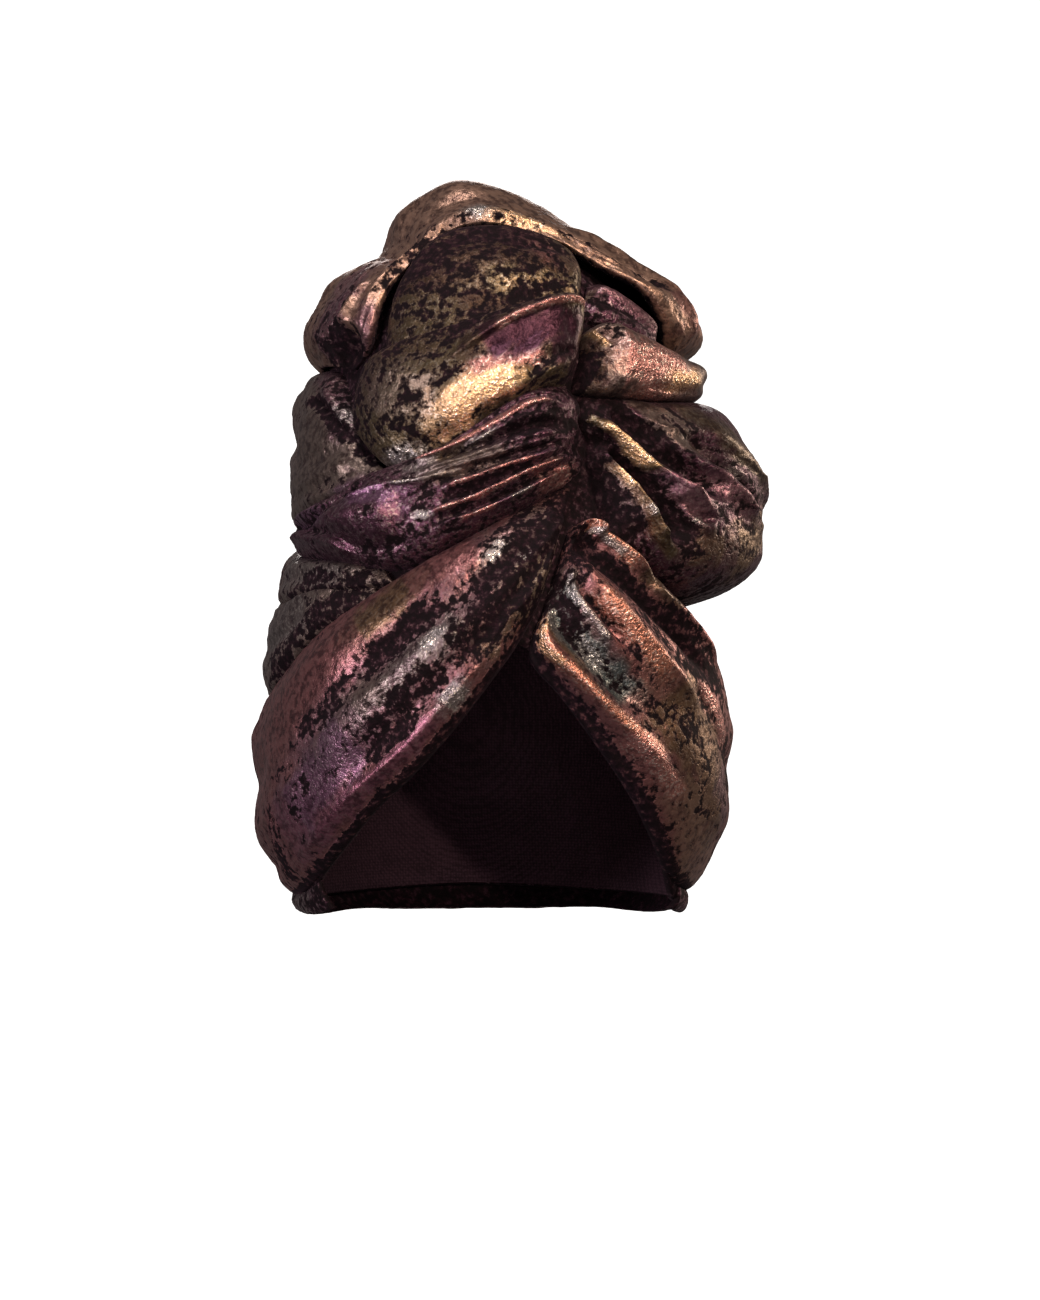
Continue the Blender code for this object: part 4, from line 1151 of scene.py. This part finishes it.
drapeHigh = {
    "rows": (
        FoldRow(-45, 0.515, -45, 0.555, 0.1),
        FoldRow(-36, 0.53, -42, 0.68, 0.34),
        FoldRow(-25, 0.55, -36, 0.785, 0.46),
        FoldRow(-12, 0.575, -24, 0.85, 0.52),
        FoldRow(1, 0.6, -3, 0.87, 0.52),
        FoldRow(12, 0.63, 17, 0.86, 0.5),
        FoldRow(22, 0.64, 32, 0.81, 0.42),
        FoldRow(26, 0.65, 37, 0.76, 0.12),
    ),
    "pleats": (
        Pleat(1.4, 8, 0, 2, ((10, 60), (40, 55), (70, 50), (95, 45))),
        Pleat(-1, 3, 0, 2, ((20, 22), (50, 17), (85, 14))),
        Pleat(1.2, 3, 0.3, 1.8, ((30, 82), (50, 84), (72, 80))),
        Pleat(-1.2, 2.5, 0, 2, ((60, 60), (74, 66), (90, 70))),
    ),
    "strokes": (
        # painted shadow of the hood along the top
        Stroke("umber", 0.9, 0.24, 12, ((24, 78), (45, 82), (70, 80))),
        Stroke("oldGold", 0.9, -0.2, 6, ((80, 80), (88, 60), (92, 40))),
        Stroke("oldGold", 0.9, 0.02, 5, ((50, 36), (70, 26), (90, 22))),
        Stroke("paleGold", 0.22, 0, 2.5, ((55, 32), (74, 24), (90, 22))),
        Stroke("oldGold", 0.8, -0.14, 9, ((10, 50), (22, 28), (38, 10))),
        Stroke("rosewood", 0.6, 0.08, 6, ((70, 70), (78, 55))),
    ),
    "tint": "umber", "pile": 0.6,
    "bulge": 0.05, "swell": 0.95,
    "lowRound": 0.8, "highRound": 0.8,
    "hold": ((0, 0.8, 0.2), (0.4, 0.95, 0.3), (0.6, 0.7, 0.3), (1, 0.4, 0.3)),
    "rounding": (0.08, 0.05),
    "tuck": 0.0035,
    "slack": 0.55, "crush": 0.5,
    "grid": (200, 96), "seed": 19,
    "flat": (0.052, 0.085), "held": "draped", "restsOn": ["under_wrap", "drape_low"],
}
layFold("drape_high", drapeHigh)

# The turn over the peak, with a lobe at either side
topHood = {
    "rows": (
        FoldRow(-62, 0.49, -100, 0.49, 0.2),
        FoldRow(-50, 0.57, -118, 0.5, 0.6),
        FoldRow(-48, 0.7, -134, 0.52, 0.42),
        FoldRow(-42, 0.8, -150, 0.53, 0.26),
        FoldRow(-28, 0.88, -166, 0.54, 0.26),
        FoldRow(-3, 0.895, 178, 0.55, 0.42),
        FoldRow(20, 0.885, 160, 0.55, 0.3),
        FoldRow(36, 0.835, 142, 0.54, 0.36),
        FoldRow(46, 0.76, 126, 0.53, 0.5),
        FoldRow(56, 0.66, 112, 0.52, 0.92),
        FoldRow(65, 0.56, 100, 0.51, 0.96),
        FoldRow(72, 0.51, 92, 0.5, 0.2),
    ),
    "pleats": (
        Pleat(1.8, 2.2, 0.3, 1.7, ((10, 5), (25, 4.5), (45, 4), (65, 5), (85, 6))),
        Pleat(-7, 5.5, 0, 1.8, ((1, 16), (5, 13), (11, 12))),
        Pleat(2.4, 1.8, 0.2, 1.5, ((5, 20), (10, 16), (16, 12), (20, 8))),
        Pleat(-4, 3.5, 0, 1.8, ((56, 10), (66, 12), (74, 13), (82, 12))),
        Pleat(2.2, 3, 0.2, 1.6, ((58, 22), (70, 24), (82, 22), (92, 18))),
        Pleat(1.6, 8, 0, 2, ((30, 30), (45, 26), (60, 32))),
        Pleat(-5, 8, 0, 2, ((29, 2), (29, 20), (28, 45), (24, 70))),
        Pleat(1.8, 8, 0, 2, ((40, 16), (42, 30), (42, 50))),
        Pleat(2, 7, 0, 1.8, ((18, 35), (22, 60), (30, 85))),
        Pleat(-2, 5, 0, 1.8, ((36, 40), (38, 60), (40, 88))),
        Pleat(2.2, 7, 0, 1.8, ((48, 38), (49, 60), (50, 88))),
        Pleat(-2, 5, 0, 1.8, ((58, 42), (60, 62), (60, 88))),
        Pleat(2, 7, 0, 1.8, ((72, 40), (70, 62), (70, 88))),
        Pleat(-2, 4.5, 0, 1.8, ((82, 40), (80, 62), (78, 88))),
    ),
    "strokes": (
        bareAndShade(0.42, 2.6, ((16, 4), (34, 3), (44, 3))),
        # pale gold and silver on the front edge: painted highlights
        Stroke("paleGold", 0.35, 0.4, 3.2, ((46, 5), (54, 6), (62, 7))),
        Stroke("paleGold", 0.6, -0.1, 3, ((50, 8), (56, 9))),
        Stroke("silver", 1, -0.3, 3.4, ((43, 9), (46, 6))),
        # painted shade in the hole of the lobe at the start
        bareAndShade(0.66, 6, ((1, 15), (5, 13), (9, 12))),
        Stroke("mauve", 0.8, -0.05, 3, ((3, 3), (8, 3), (14, 5))),
        Stroke("mauve", 0.7, 0.12, 7, ((10, 30), (16, 26), (22, 20))),
        Stroke("plum", 0.8, 0.3, 9, ((4, 34), (10, 26), (17, 22))),
        # painted shade in the valley near the end
        bareAndShade(0.51, 4, ((58, 10), (68, 12), (80, 12))),
        Stroke("rosewood", 0.7, -0.05, 7, ((80, 26), (90, 24))),
        bareAndShade(0.26, 30, ((12, 70), (30, 72), (50, 74), (70, 72), (88, 66))),
        bareAndShade(0.28, 9, ((26, 50), (40, 62), (52, 54))),
        bareAndShade(0.3, 9, ((60, 62), (72, 74), (84, 58))),
        Stroke("taupe", 0.8, 0.04, 16, ((30, 62), (50, 66), (70, 62))),
        Stroke("mauve", 0.6, 0.1, 10, ((62, 60), (80, 70))),
    ),
    "tint": "brown", "pile": 0.16,
    "bulge": 0.05, "droop": 0.15, "swell": 0.96, "deep": 1.15,
    "lowRound": 0.8, "highRound": 0.8,
    "hold": ((0, 0.3, 0), (0.2, 0.75, 0), (0.5, 0.85, 0), (0.8, 0.75, 0), (1, 0.3, 0)),
    "slack": 0.85, "crush": 0.6,
    "grid": (260, 150), "seed": 20,
    "flat": (0.125, 0.2), "held": "draped", "restsOn": ["under_wrap", "drape_high"],
}
layFold("top_hood", topHood)

# The small fold under the hood
innerFold = {
    "rows": (
        FoldRow(29, 0.655, 36, 0.72, 0.1),
        FoldRow(33, 0.63, 41, 0.715, 0.3),
        FoldRow(41, 0.595, 48, 0.665, 0.42),
        FoldRow(51, 0.545, 56, 0.6, 0.5),
        FoldRow(58, 0.525, 61, 0.55, 0.14),
    ),
    "pleats": (
        Pleat(1.4, 2.2, 0.3, 1.6, ((5, 70), (45, 72), (90, 70))),
        Pleat(-1.4, 1.6, 0, 1.8, ((10, 42), (50, 45), (85, 45))),
    ),
    "strokes": (
        Stroke("mauve", 0.8, -0.15, 3, ((10, 75), (45, 75), (80, 70))),
        Stroke("oldGold", 0.7, 0, 3, ((0, 60), (12, 55))),
        bareAndShade(0.27, 2, ((15, 35), (60, 35))),
    ),
    "tint": "plum", "pile": 0.4,
    "bulge": 0.1,
    "wall": 0.0018,
    "slack": 0.44, "crush": 0.4,
    "grid": (90, 40), "seed": 21,
    "flat": (0.03, 0.038), "held": "folded", "restsOn": ["under_wrap", "top_hood"],
}
layFold("inner_fold", innerFold)

# The roll between the hood and the loop
sideRoll = {
    "rows": (
        FoldRow(21, 0.42, 26, 0.56, 0.14),
        FoldRow(30, 0.41, 33, 0.585, 0.66),
        FoldRow(38, 0.405, 41, 0.555, 0.86),
        FoldRow(48, 0.4, 51, 0.52, 0.98),
        FoldRow(64, 0.405, 66, 0.49, 1),
        FoldRow(88, 0.41, 88, 0.485, 0.8),
        FoldRow(116, 0.41, 116, 0.49, 0.56),
        FoldRow(140, 0.425, 140, 0.51, 0.14),
    ),
    "pleats": (
        Pleat(1.6, 4, 0.3, 1.8, ((12, 62), (30, 64), (50, 60))),
        Pleat(-2.4, 1.6, 0, 1.6, ((30, 14), (42, 16), (56, 20))),
        Pleat(2.2, 1.4, 0, 1.5, ((3, 98), (5, 80), (7, 62))),
        Pleat(-2.2, 1.6, 0, 1.6, ((8, 92), (10, 76), (12, 62))),
        Pleat(1.4, 3, 0.2, 1.8, ((50, 70), (70, 66), (90, 60))),
        Pleat(-1.4, 2.4, 0, 2, ((54, 40), (72, 42), (92, 40))),
    ),
    "strokes": (
        Stroke("taupe", 0.9, -0.1, 6, ((4, 30), (20, 35))),
        Stroke("rose", 0.8, -0.3, 9, ((16, 46), (36, 44), (46, 38))),
        # a painted highlight
        Stroke("paleGold", 0.7, -0.3, 2.8, ((40, 30), (48, 34), (52, 44))),
        # painted shade in the pocket at the roll's start, here and in the next line
        Stroke("umber", 0.9, 0.1, 4, ((3, 6), (5, 40), (3, 70))),
        bareAndShade(0.8, 3, ((0, 2), (1, 35), (0, 62))),
        # a painted glint along the small ridge at the start
        Stroke("paleGold", 0.7, -0.8, 1.1, ((4, 95), (6, 78), (8, 64))),
        bareAndShade(0.35, 3, ((12, 80), (20, 88))),
        bareAndShade(0.27, 4, ((62, 50), (80, 50))),
    ),
    "tint": "taupe", "pile": 0.22,
    "bulge": 0.2, "droop": 0.1, "swell": 0.98,
    "taper": (1, 0.3), "rounding": (0.07, 0),
    "startLine": ((0, 0.0), (0.3, 0.004), (0.6, 0.02), (1, 0.0)),
    "slack": 0.55, "crush": 0.45,
    "grid": (200, 72), "seed": 22,
    "flat": (0.045, 0.145), "held": "folded", "restsOn": ["under_wrap", "side_loop"],
}
layFold("side_roll", sideRoll)

# The large loop on the wearer's left, its ribs running down and back from the recess by the knot
sideLoop = {
    "rows": (
        FoldRow(22, 0.05, 22, 0.375, 0.14),
        FoldRow(28, -0.005, 30, 0.375, 0.4),
        FoldRow(36, -0.065, 39, 0.37, 0.8),
        FoldRow(44, -0.115, 48, 0.365, 1.24),
        FoldRow(54, -0.155, 59, 0.37, 1.66),
        FoldRow(68, -0.175, 73, 0.38, 1.96),
        FoldRow(88, -0.175, 90, 0.385, 1.96),
        FoldRow(112, -0.14, 112, 0.385, 1.5),
        FoldRow(132, -0.085, 132, 0.385, 0.8),
        FoldRow(142, -0.02, 142, 0.4, 0.2),
    ),
    "pleats": (
        Pleat(6.5, 3.4, 0.3, 1.5, (
            (3, 82), (9, 76), (14, 70), (18, 61), (23, 51), (28, 43), (34, 35), (41, 26),
        )),
        Pleat(6, 2.2, 0.3, 1.5, ((7, 64), (10.5, 50), (13.5, 36), (17, 20), (22, 10), (31, 4))),
        Pleat(-6, 3, 0, 1.8, ((10, 64), (16, 52), (21, 38), (27, 22), (33, 12))),
        Pleat(-5, 4.5, 0, 1.8, ((11, 90), (20, 76), (29, 64), (37, 52), (44, 40))),
        Pleat(-8, 3.6, 0, 1.8, ((0, 72), (1.5, 44), (5, 20), (12, 3))),
        Pleat(2.4, 2.4, 0, 1.6, ((5.5, 56), (8, 38), (13, 22), (19, 10))),
        Pleat(3.2, 1.8, 0.3, 1.4, ((25, 42), (30, 30), (34, 21), (39, 18))),
        Pleat(-2.4, 3, 0, 1.8, ((28, 36), (34, 27), (38, 23))),
        Pleat(4, 3.8, 0.2, 1.6, ((24, 80), (34, 68), (42, 54), (48, 38), (52, 22))),
        Pleat(-3.6, 3.2, 0, 1.8, ((34, 84), (44, 68), (52, 48), (57, 28))),
        Pleat(3, 5, 0.2, 1.8, ((40, 90), (52, 76), (62, 54), (68, 30))),
        Pleat(-3, 4, 0, 1.8, ((60, 86), (70, 62), (78, 34))),
        Pleat(2.6, 5, 0.2, 1.8, ((70, 88), (80, 62), (88, 34))),
        Pleat(1.6, 1.6, 0, 1.5, ((17, 90), (24, 86), (32, 84), (44, 86))),
    ),
    "strokes": (
        # painted shade in the recess by the knot, and in the grooves between the ribs in the next two lines
        bareAndShade(0.9, 5, ((0, 98), (0, 70), (2, 42), (7, 20), (14, 2))),
        bareAndShade(0.6, 4.6, ((8, 97), (16, 86), (24, 72), (31, 62))),
        bareAndShade(0.6, 3.4, ((10, 64), (16, 52), (21, 38), (27, 22), (33, 12))),
        Stroke("taupe", 0.5, -0.1, 2.6, ((6.5, 50), (9, 34), (13, 20), (18, 10))),
        Stroke("mauve", 0.9, -0.4, 4.2, ((28, 44), (32, 36), (35, 28))),
        Stroke("mauve", 0.8, -0.05, 3.4, ((40, 56), (45, 42), (47, 28))),
        Stroke("oldGold", 0.8, -0.22, 5, ((36, 96), (46, 86), (54, 72), (60, 56))),
        Stroke("taupe", 0.9, -0.3, 4, ((20, 99), (27, 90), (33, 80), (40, 72))),
        bareAndShade(0.45, 3.4, ((30, 92), (38, 82))),
        Stroke("pewter", 0.8, -0.1, 3.4, ((46, 66), (50, 54))),
        Stroke("bronze", 0.8, -0.1, 7, ((46, 14), (56, 22), (62, 34))),
        Stroke("bronze", 0.6, -0.05, 5, ((34, 10), (42, 14))),
        Stroke("mauve", 0.6, 0, 8, ((66, 60), (80, 50), (92, 50))),
        # along the rib crests: foil colours with painted highlights
        Stroke("oldGold", 1, -0.8, 1.8, ((3, 82), (8, 77), (13, 71), (18, 61), (23, 51))),
        Stroke("paleGold", 0.9, -0.9, 1.5, ((7, 78), (12, 72), (17, 63), (21, 55))),
        Stroke("silver", 0.9, -0.9, 1.4, ((33, 25), (36, 22))),
        Stroke("bronze", 0.9, -0.8, 1.3, ((10, 52), (13, 38), (16.5, 22), (21, 11), (29, 5))),
        Stroke("paleGold", 0.8, -0.6, 0.8, ((11.5, 46), (14, 34))),
        Stroke("silver", 0.8, -0.6, 0.7, ((16.5, 22), (18, 17))),
        Stroke("oldGold", 0.8, -0.6, 1.3, ((22, 10), (30, 5))),
    ),
    "tint": "plum", "pile": 0.48,
    "bulge": 0.2, "droop": 0.1, "swell": 0.93, "deep": 1.15,
    "taper": (1, 0.45), "rounding": (0.05, 0),
    "wall": 0.01,
    "startLine": (
        (0, 0.03), (0.15, 0.04), (0.35, 0.022), (0.55, 0.004), (0.72, 0.016), (0.86, 0.0), (1, 0.03),
    ),
    "slack": 0.77, "crush": 0.6,
    "grid": (260, 150), "seed": 23,
    "flat": (0.11, 0.165), "held": "gathered",
}
layFold("side_loop", sideLoop)


# The first turns, seen from inside and in the creases
firstTurns = {
    "round": 220,
    "up": 110,
    "rowSpread": 0.9,  # below 1 its rows stand closer towards the peak
    "wrinkle": 0.0006,
    "creases": 16,  # round the head
    "creaseHeight": 0.012,
    "hemRoll": 0.0011,
    "hemHeight": 0.0035,
    "inset": 0.0002,  # keeps its outside under the solids' face
    "wallShare": 0.9,  # how much of the shell's wall it has
    # nearly all dark pile: painted shade in the creases and the recess by the knot
    "pile": 0.90,
    "flatRadius": 0.08,
    "flat": (0.52, 0.22),
}


def cupFaces(roundSteps, upSteps):  # outer rings, their pole, inner rings, their pole
    side = roundSteps * upSteps + 1
    faces = []
    for k in range(upSteps - 1):
        for i in range(roundSteps):
            here, beside = k * roundSteps + i, k * roundSteps + (i + 1) % roundSteps
            quad = (here, beside, beside + roundSteps, here + roundSteps)
            faces.append(quad)
            faces.append(tuple(side + v for v in reversed(quad)))
    last = (upSteps - 1) * roundSteps
    for i in range(roundSteps):
        here, beside = last + i, last + (i + 1) % roundSteps
        faces.append((here, beside, side - 1))
        faces.append((side + beside, side + here, 2 * side - 1))
        rim, nextRim = i, (i + 1) % roundSteps
        faces.append((side + rim, side + nextRim, nextRim, rim))
    return faces


def cupObject(name, outer, inner, tops, roundSteps, upSteps):
    points = np.concatenate([outer.reshape(-1, 3), [tops[0]], inner.reshape(-1, 3), [tops[1]]])
    count = len(points)
    turned = np.arctan2(points[:, 0], -points[:, 1]) * firstTurns["flatRadius"]
    flatPlaces = np.column_stack([turned, points[:, 2]])
    colour = np.repeat([foilTints["plum"] + (firstTurns["pile"],)], count, axis=0)
    made = clothObject(name, points, cupFaces(roundSteps, upSteps), flatPlaces, colour, np.zeros(count))
    applyTree(made, crushedPile, Seed=3, Cloth=foilCloth)
    made.data.materials.append(backingCloth)
    for face in made.data.polygons:
        face.material_index = int(min(face.vertices) >= roundSteps * upSteps + 1)
    return made


def windFirstTurns():
    roundSteps, upSteps = firstTurns["round"], firstTurns["up"]
    top, wall, inset = headForm["crownHeight"], headForm["shellWall"], firstTurns["inset"]
    azimuths = np.arange(roundSteps) * 360 / roundSteps - 180
    hem = heightOf(smoothCurve([r.azimuth for r in shellHem], [r.level for r in shellHem], azimuths))[None, :]
    share = np.sin(np.arange(upSteps) / upSteps * math.pi / 2)[:, None] ** firstTurns["rowSpread"]
    height = hem + (top - hem) * share
    level = np.where(height < 0, height / headForm["headDepth"], height / top)
    outer = shellPoint(np.repeat(azimuths[None, :], upSteps, axis=0), level)
    out = facing(outer)
    turned = np.radians(azimuths)[None, :] * firstTurns["creases"] / (2 * math.pi)
    upward = height / firstTurns["creaseHeight"] + np.sin(np.radians(azimuths) * 2)[None, :]
    wrinkle = (1 - 2 * np.abs(clothNoise(turned + 32, upward, 5))) * firstTurns["wrinkle"] * easeIn(share * 6)
    roll = firstTurns["hemRoll"] * np.exp(-(((height - hem) / firstTurns["hemHeight"]) ** 2))
    thickness = (wall - 2 * inset + roll * 0.3 + np.abs(wrinkle)) * firstTurns["wallShare"]
    inner = outer - out * thickness[..., None]
    outer = outer + out * (np.minimum(wrinkle, 0) - inset)[..., None]
    lean = headForm["crownLean"]
    tops = ((-lean, 0, top - inset), (-lean, 0, top - wall * firstTurns["wallShare"]))
    made = cupObject("first-turns", outer, inner, tops, roundSteps, upSteps)
    declare(made, "under_wrap")
    print("wound the first turns:", len(made.data.polygons), "faces")


windFirstTurns()

# The layer on the top of the head
innerLayer = {
    "level": -0.27,
    "wall": 0.002,
    "gap": 0.0005,
    "draw": 1.2,
    "ripple": 0.0005,
    "round": 120,
    "up": 40,
    "flat": (0.17, 0.20),
}


def layInnerLayer():
    roundSteps, upSteps = innerLayer["round"], innerLayer["up"]
    azimuths = np.arange(roundSteps) * 360 / roundSteps - 180
    rim = shellPoint(azimuths, np.full(roundSteps, innerLayer["level"]))
    rim = rim - facing(rim) * (headForm["shellWall"] + innerLayer["gap"])
    wall = innerLayer["wall"]
    depth = -innerLayer["level"] * headForm["headDepth"] + wall
    tilt = (np.arange(upSteps) / upSteps * math.pi / 2)[:, None]
    grids = []
    for thick in (0.0, wall):
        narrower = (1 - thick / np.linalg.norm(rim[:, :2], axis=1))[None, :]
        spread = narrower * np.cos(tilt) ** innerLayer["draw"]
        ring = rim[None, :, :] * spread[..., None]
        ring[..., 2] = wall - depth + (depth - thick) * np.sin(tilt)
        ripple = clothNoise(ring[..., 0] / 0.018 + 30, ring[..., 1] / 0.007 + 30, 8)
        ring[..., 2] += ripple * innerLayer["ripple"] * np.sin(tilt * 2)
        grids.append(ring)
    made = cupObject("inner-layer", grids[0], grids[1], ((0, 0, wall), (0, 0, 0)), roundSteps, upSteps)
    declare(made, "inner_cap")
    print("laid the inner layer:", len(made.data.polygons), "faces")


layInnerLayer()

# Where the photograph was taken from
viewpoint = {
    "azimuth": -6.0,
    "aimRight": 0.0107,
    "aimUp": -0.0429,
    "distance": 1.5,
    "frameHeight": 0.481,
    "sensor": 36.0,  # millimetres
}


def setCamera():
    turn = math.radians(viewpoint["azimuth"])
    right = Vector((math.cos(turn), math.sin(turn), 0))
    back = Vector((math.sin(turn), -math.cos(turn), 0))
    camera = bpy.data.objects.new("camera", bpy.data.cameras.new("camera"))
    bpy.context.scene.collection.objects.link(camera)
    camera.data.sensor_width = viewpoint["sensor"]
    camera.data.lens = viewpoint["sensor"] * viewpoint["distance"] / viewpoint["frameHeight"]
    aim = right * viewpoint["aimRight"] + Vector((0, 0, viewpoint["aimUp"]))
    camera.location = aim + back * viewpoint["distance"]
    camera.rotation_euler = (-back).to_track_quat("-Z", "Y").to_euler()
    bpy.context.scene.camera = camera
    print("set the camera")


setCamera()

# A plain cove of pale paper all round, and soft light: warm from the front right, paler from the left
studio = {
    "floorLevel": -0.420,
    "coveReach": 2.4,
    "coveRadius": 0.9,
    "coveHeight": 3.4,
    "coveSteps": (96, 16),  # round, and up its curve
    "paper": (0.82, 0.83, 0.84, 1),
    "paperGlow": 1.15,
    "room": (1.0, 0.95, 0.90, 1),
    "roomGlow": 0.10,
    "lights": (
        # name, place, size, watts, colour
        ("warm key", (0.62, -1.20, 0.72), 0.22, 18, (1.0, 0.80, 0.60)),
        ("lamp", (0.25, -1.40, 0.30), 0.06, 6.5, (1.0, 0.85, 0.70)),
        ("pale side", (-1.20, -0.80, 0.05), 0.45, 15, (1.0, 0.90, 0.92)),
        ("top", (-0.20, -0.60, 1.15), 0.45, 13, (1.0, 0.92, 0.86)),
        ("rim right", (1.10, 0.45, 0.25), 0.40, 7, (1.0, 0.84, 0.66)),
        ("low fill", (-0.25, -1.30, -0.42), 0.50, 4, (1.0, 0.88, 0.84)),
        ("back fill", (0.15, 1.50, 0.55), 0.60, 6, (1.0, 0.92, 0.88)),
    ),
}


def bendCove():  # a floor that curves up into a wall all round
    floor, reach, radius = studio["floorLevel"], studio["coveReach"], studio["coveRadius"]
    roundSteps, bendSteps = studio["coveSteps"]
    profile = [(0.4, floor), (1.0, floor), (reach - radius, floor)]
    for k in range(1, bendSteps + 1):
        turn = k / bendSteps * math.pi / 2
        profile.append((reach - radius + radius * math.sin(turn), floor + radius * (1 - math.cos(turn))))
    profile.append((reach, floor + studio["coveHeight"]))
    points = [(0, 0, floor)]
    for away, height in profile:
        for k in range(roundSteps):
            turn = k / roundSteps * 2 * math.pi
            points.append((away * math.cos(turn), away * math.sin(turn), height))
    faces = [(0, 1 + k, 1 + (k + 1) % roundSteps) for k in range(roundSteps)]
    for ring in range(len(profile) - 1):
        for k in range(roundSteps):
            here, beside = 1 + ring * roundSteps + k, 1 + ring * roundSteps + (k + 1) % roundSteps
            faces.append((here, here + roundSteps, beside + roundSteps, beside))
    mesh = bpy.data.meshes.new("paper-cove")
    mesh.from_pydata(points, [], faces)
    mesh.shade_smooth()
    cove = bpy.data.objects.new("paper-cove", mesh)
    bpy.context.scene.collection.objects.link(cove)
    cove.visible_glossy = cove.visible_diffuse = False
    return cove


def palePaper():
    paper, loom = startMaterial("palePaper")
    place = loom.node("ShaderNodeTexCoord", out=3)
    loom.dress({
        "Base Color": studio["paper"],
        "Roughness": 0.8,
        "Normal": loom.bump(0.05, 0.0005, loom.noise(place, 220.0, 2.0)),
        "Emission Color": studio["paper"],
        "Emission Strength": studio["paperGlow"],
    })
    paper.cycles.emission_sampling = "NONE"
    return paper


def setStudio():
    cove = bendCove()
    cove.data.materials.append(palePaper())
    for name, place, size, watts, colour in studio["lights"]:
        light = bpy.data.lights.new(name, "AREA")
        light.shape, light.size, light.energy, light.color = "DISK", size, watts, colour
        lamp = bpy.data.objects.new(name, light)
        lamp.location = place
        lamp.rotation_euler = (-Vector(place)).to_track_quat("-Z", "Y").to_euler()
        bpy.context.scene.collection.objects.link(lamp)
    world = bpy.data.worlds.new("room")
    world.use_nodes = True
    bpy.context.scene.world = world
    loom = Loom(world.node_tree)
    room = {"Color": studio["room"], "Strength": studio["roomGlow"]}
    glow = loom.node("ShaderNodeBackground", {}, room)
    loom.node("ShaderNodeOutputWorld", {}, {"Surface": glow})
    print("set the studio:", len(studio["lights"]), "lights")


setStudio()
bpy.context.scene.view_settings.view_transform = "Standard"
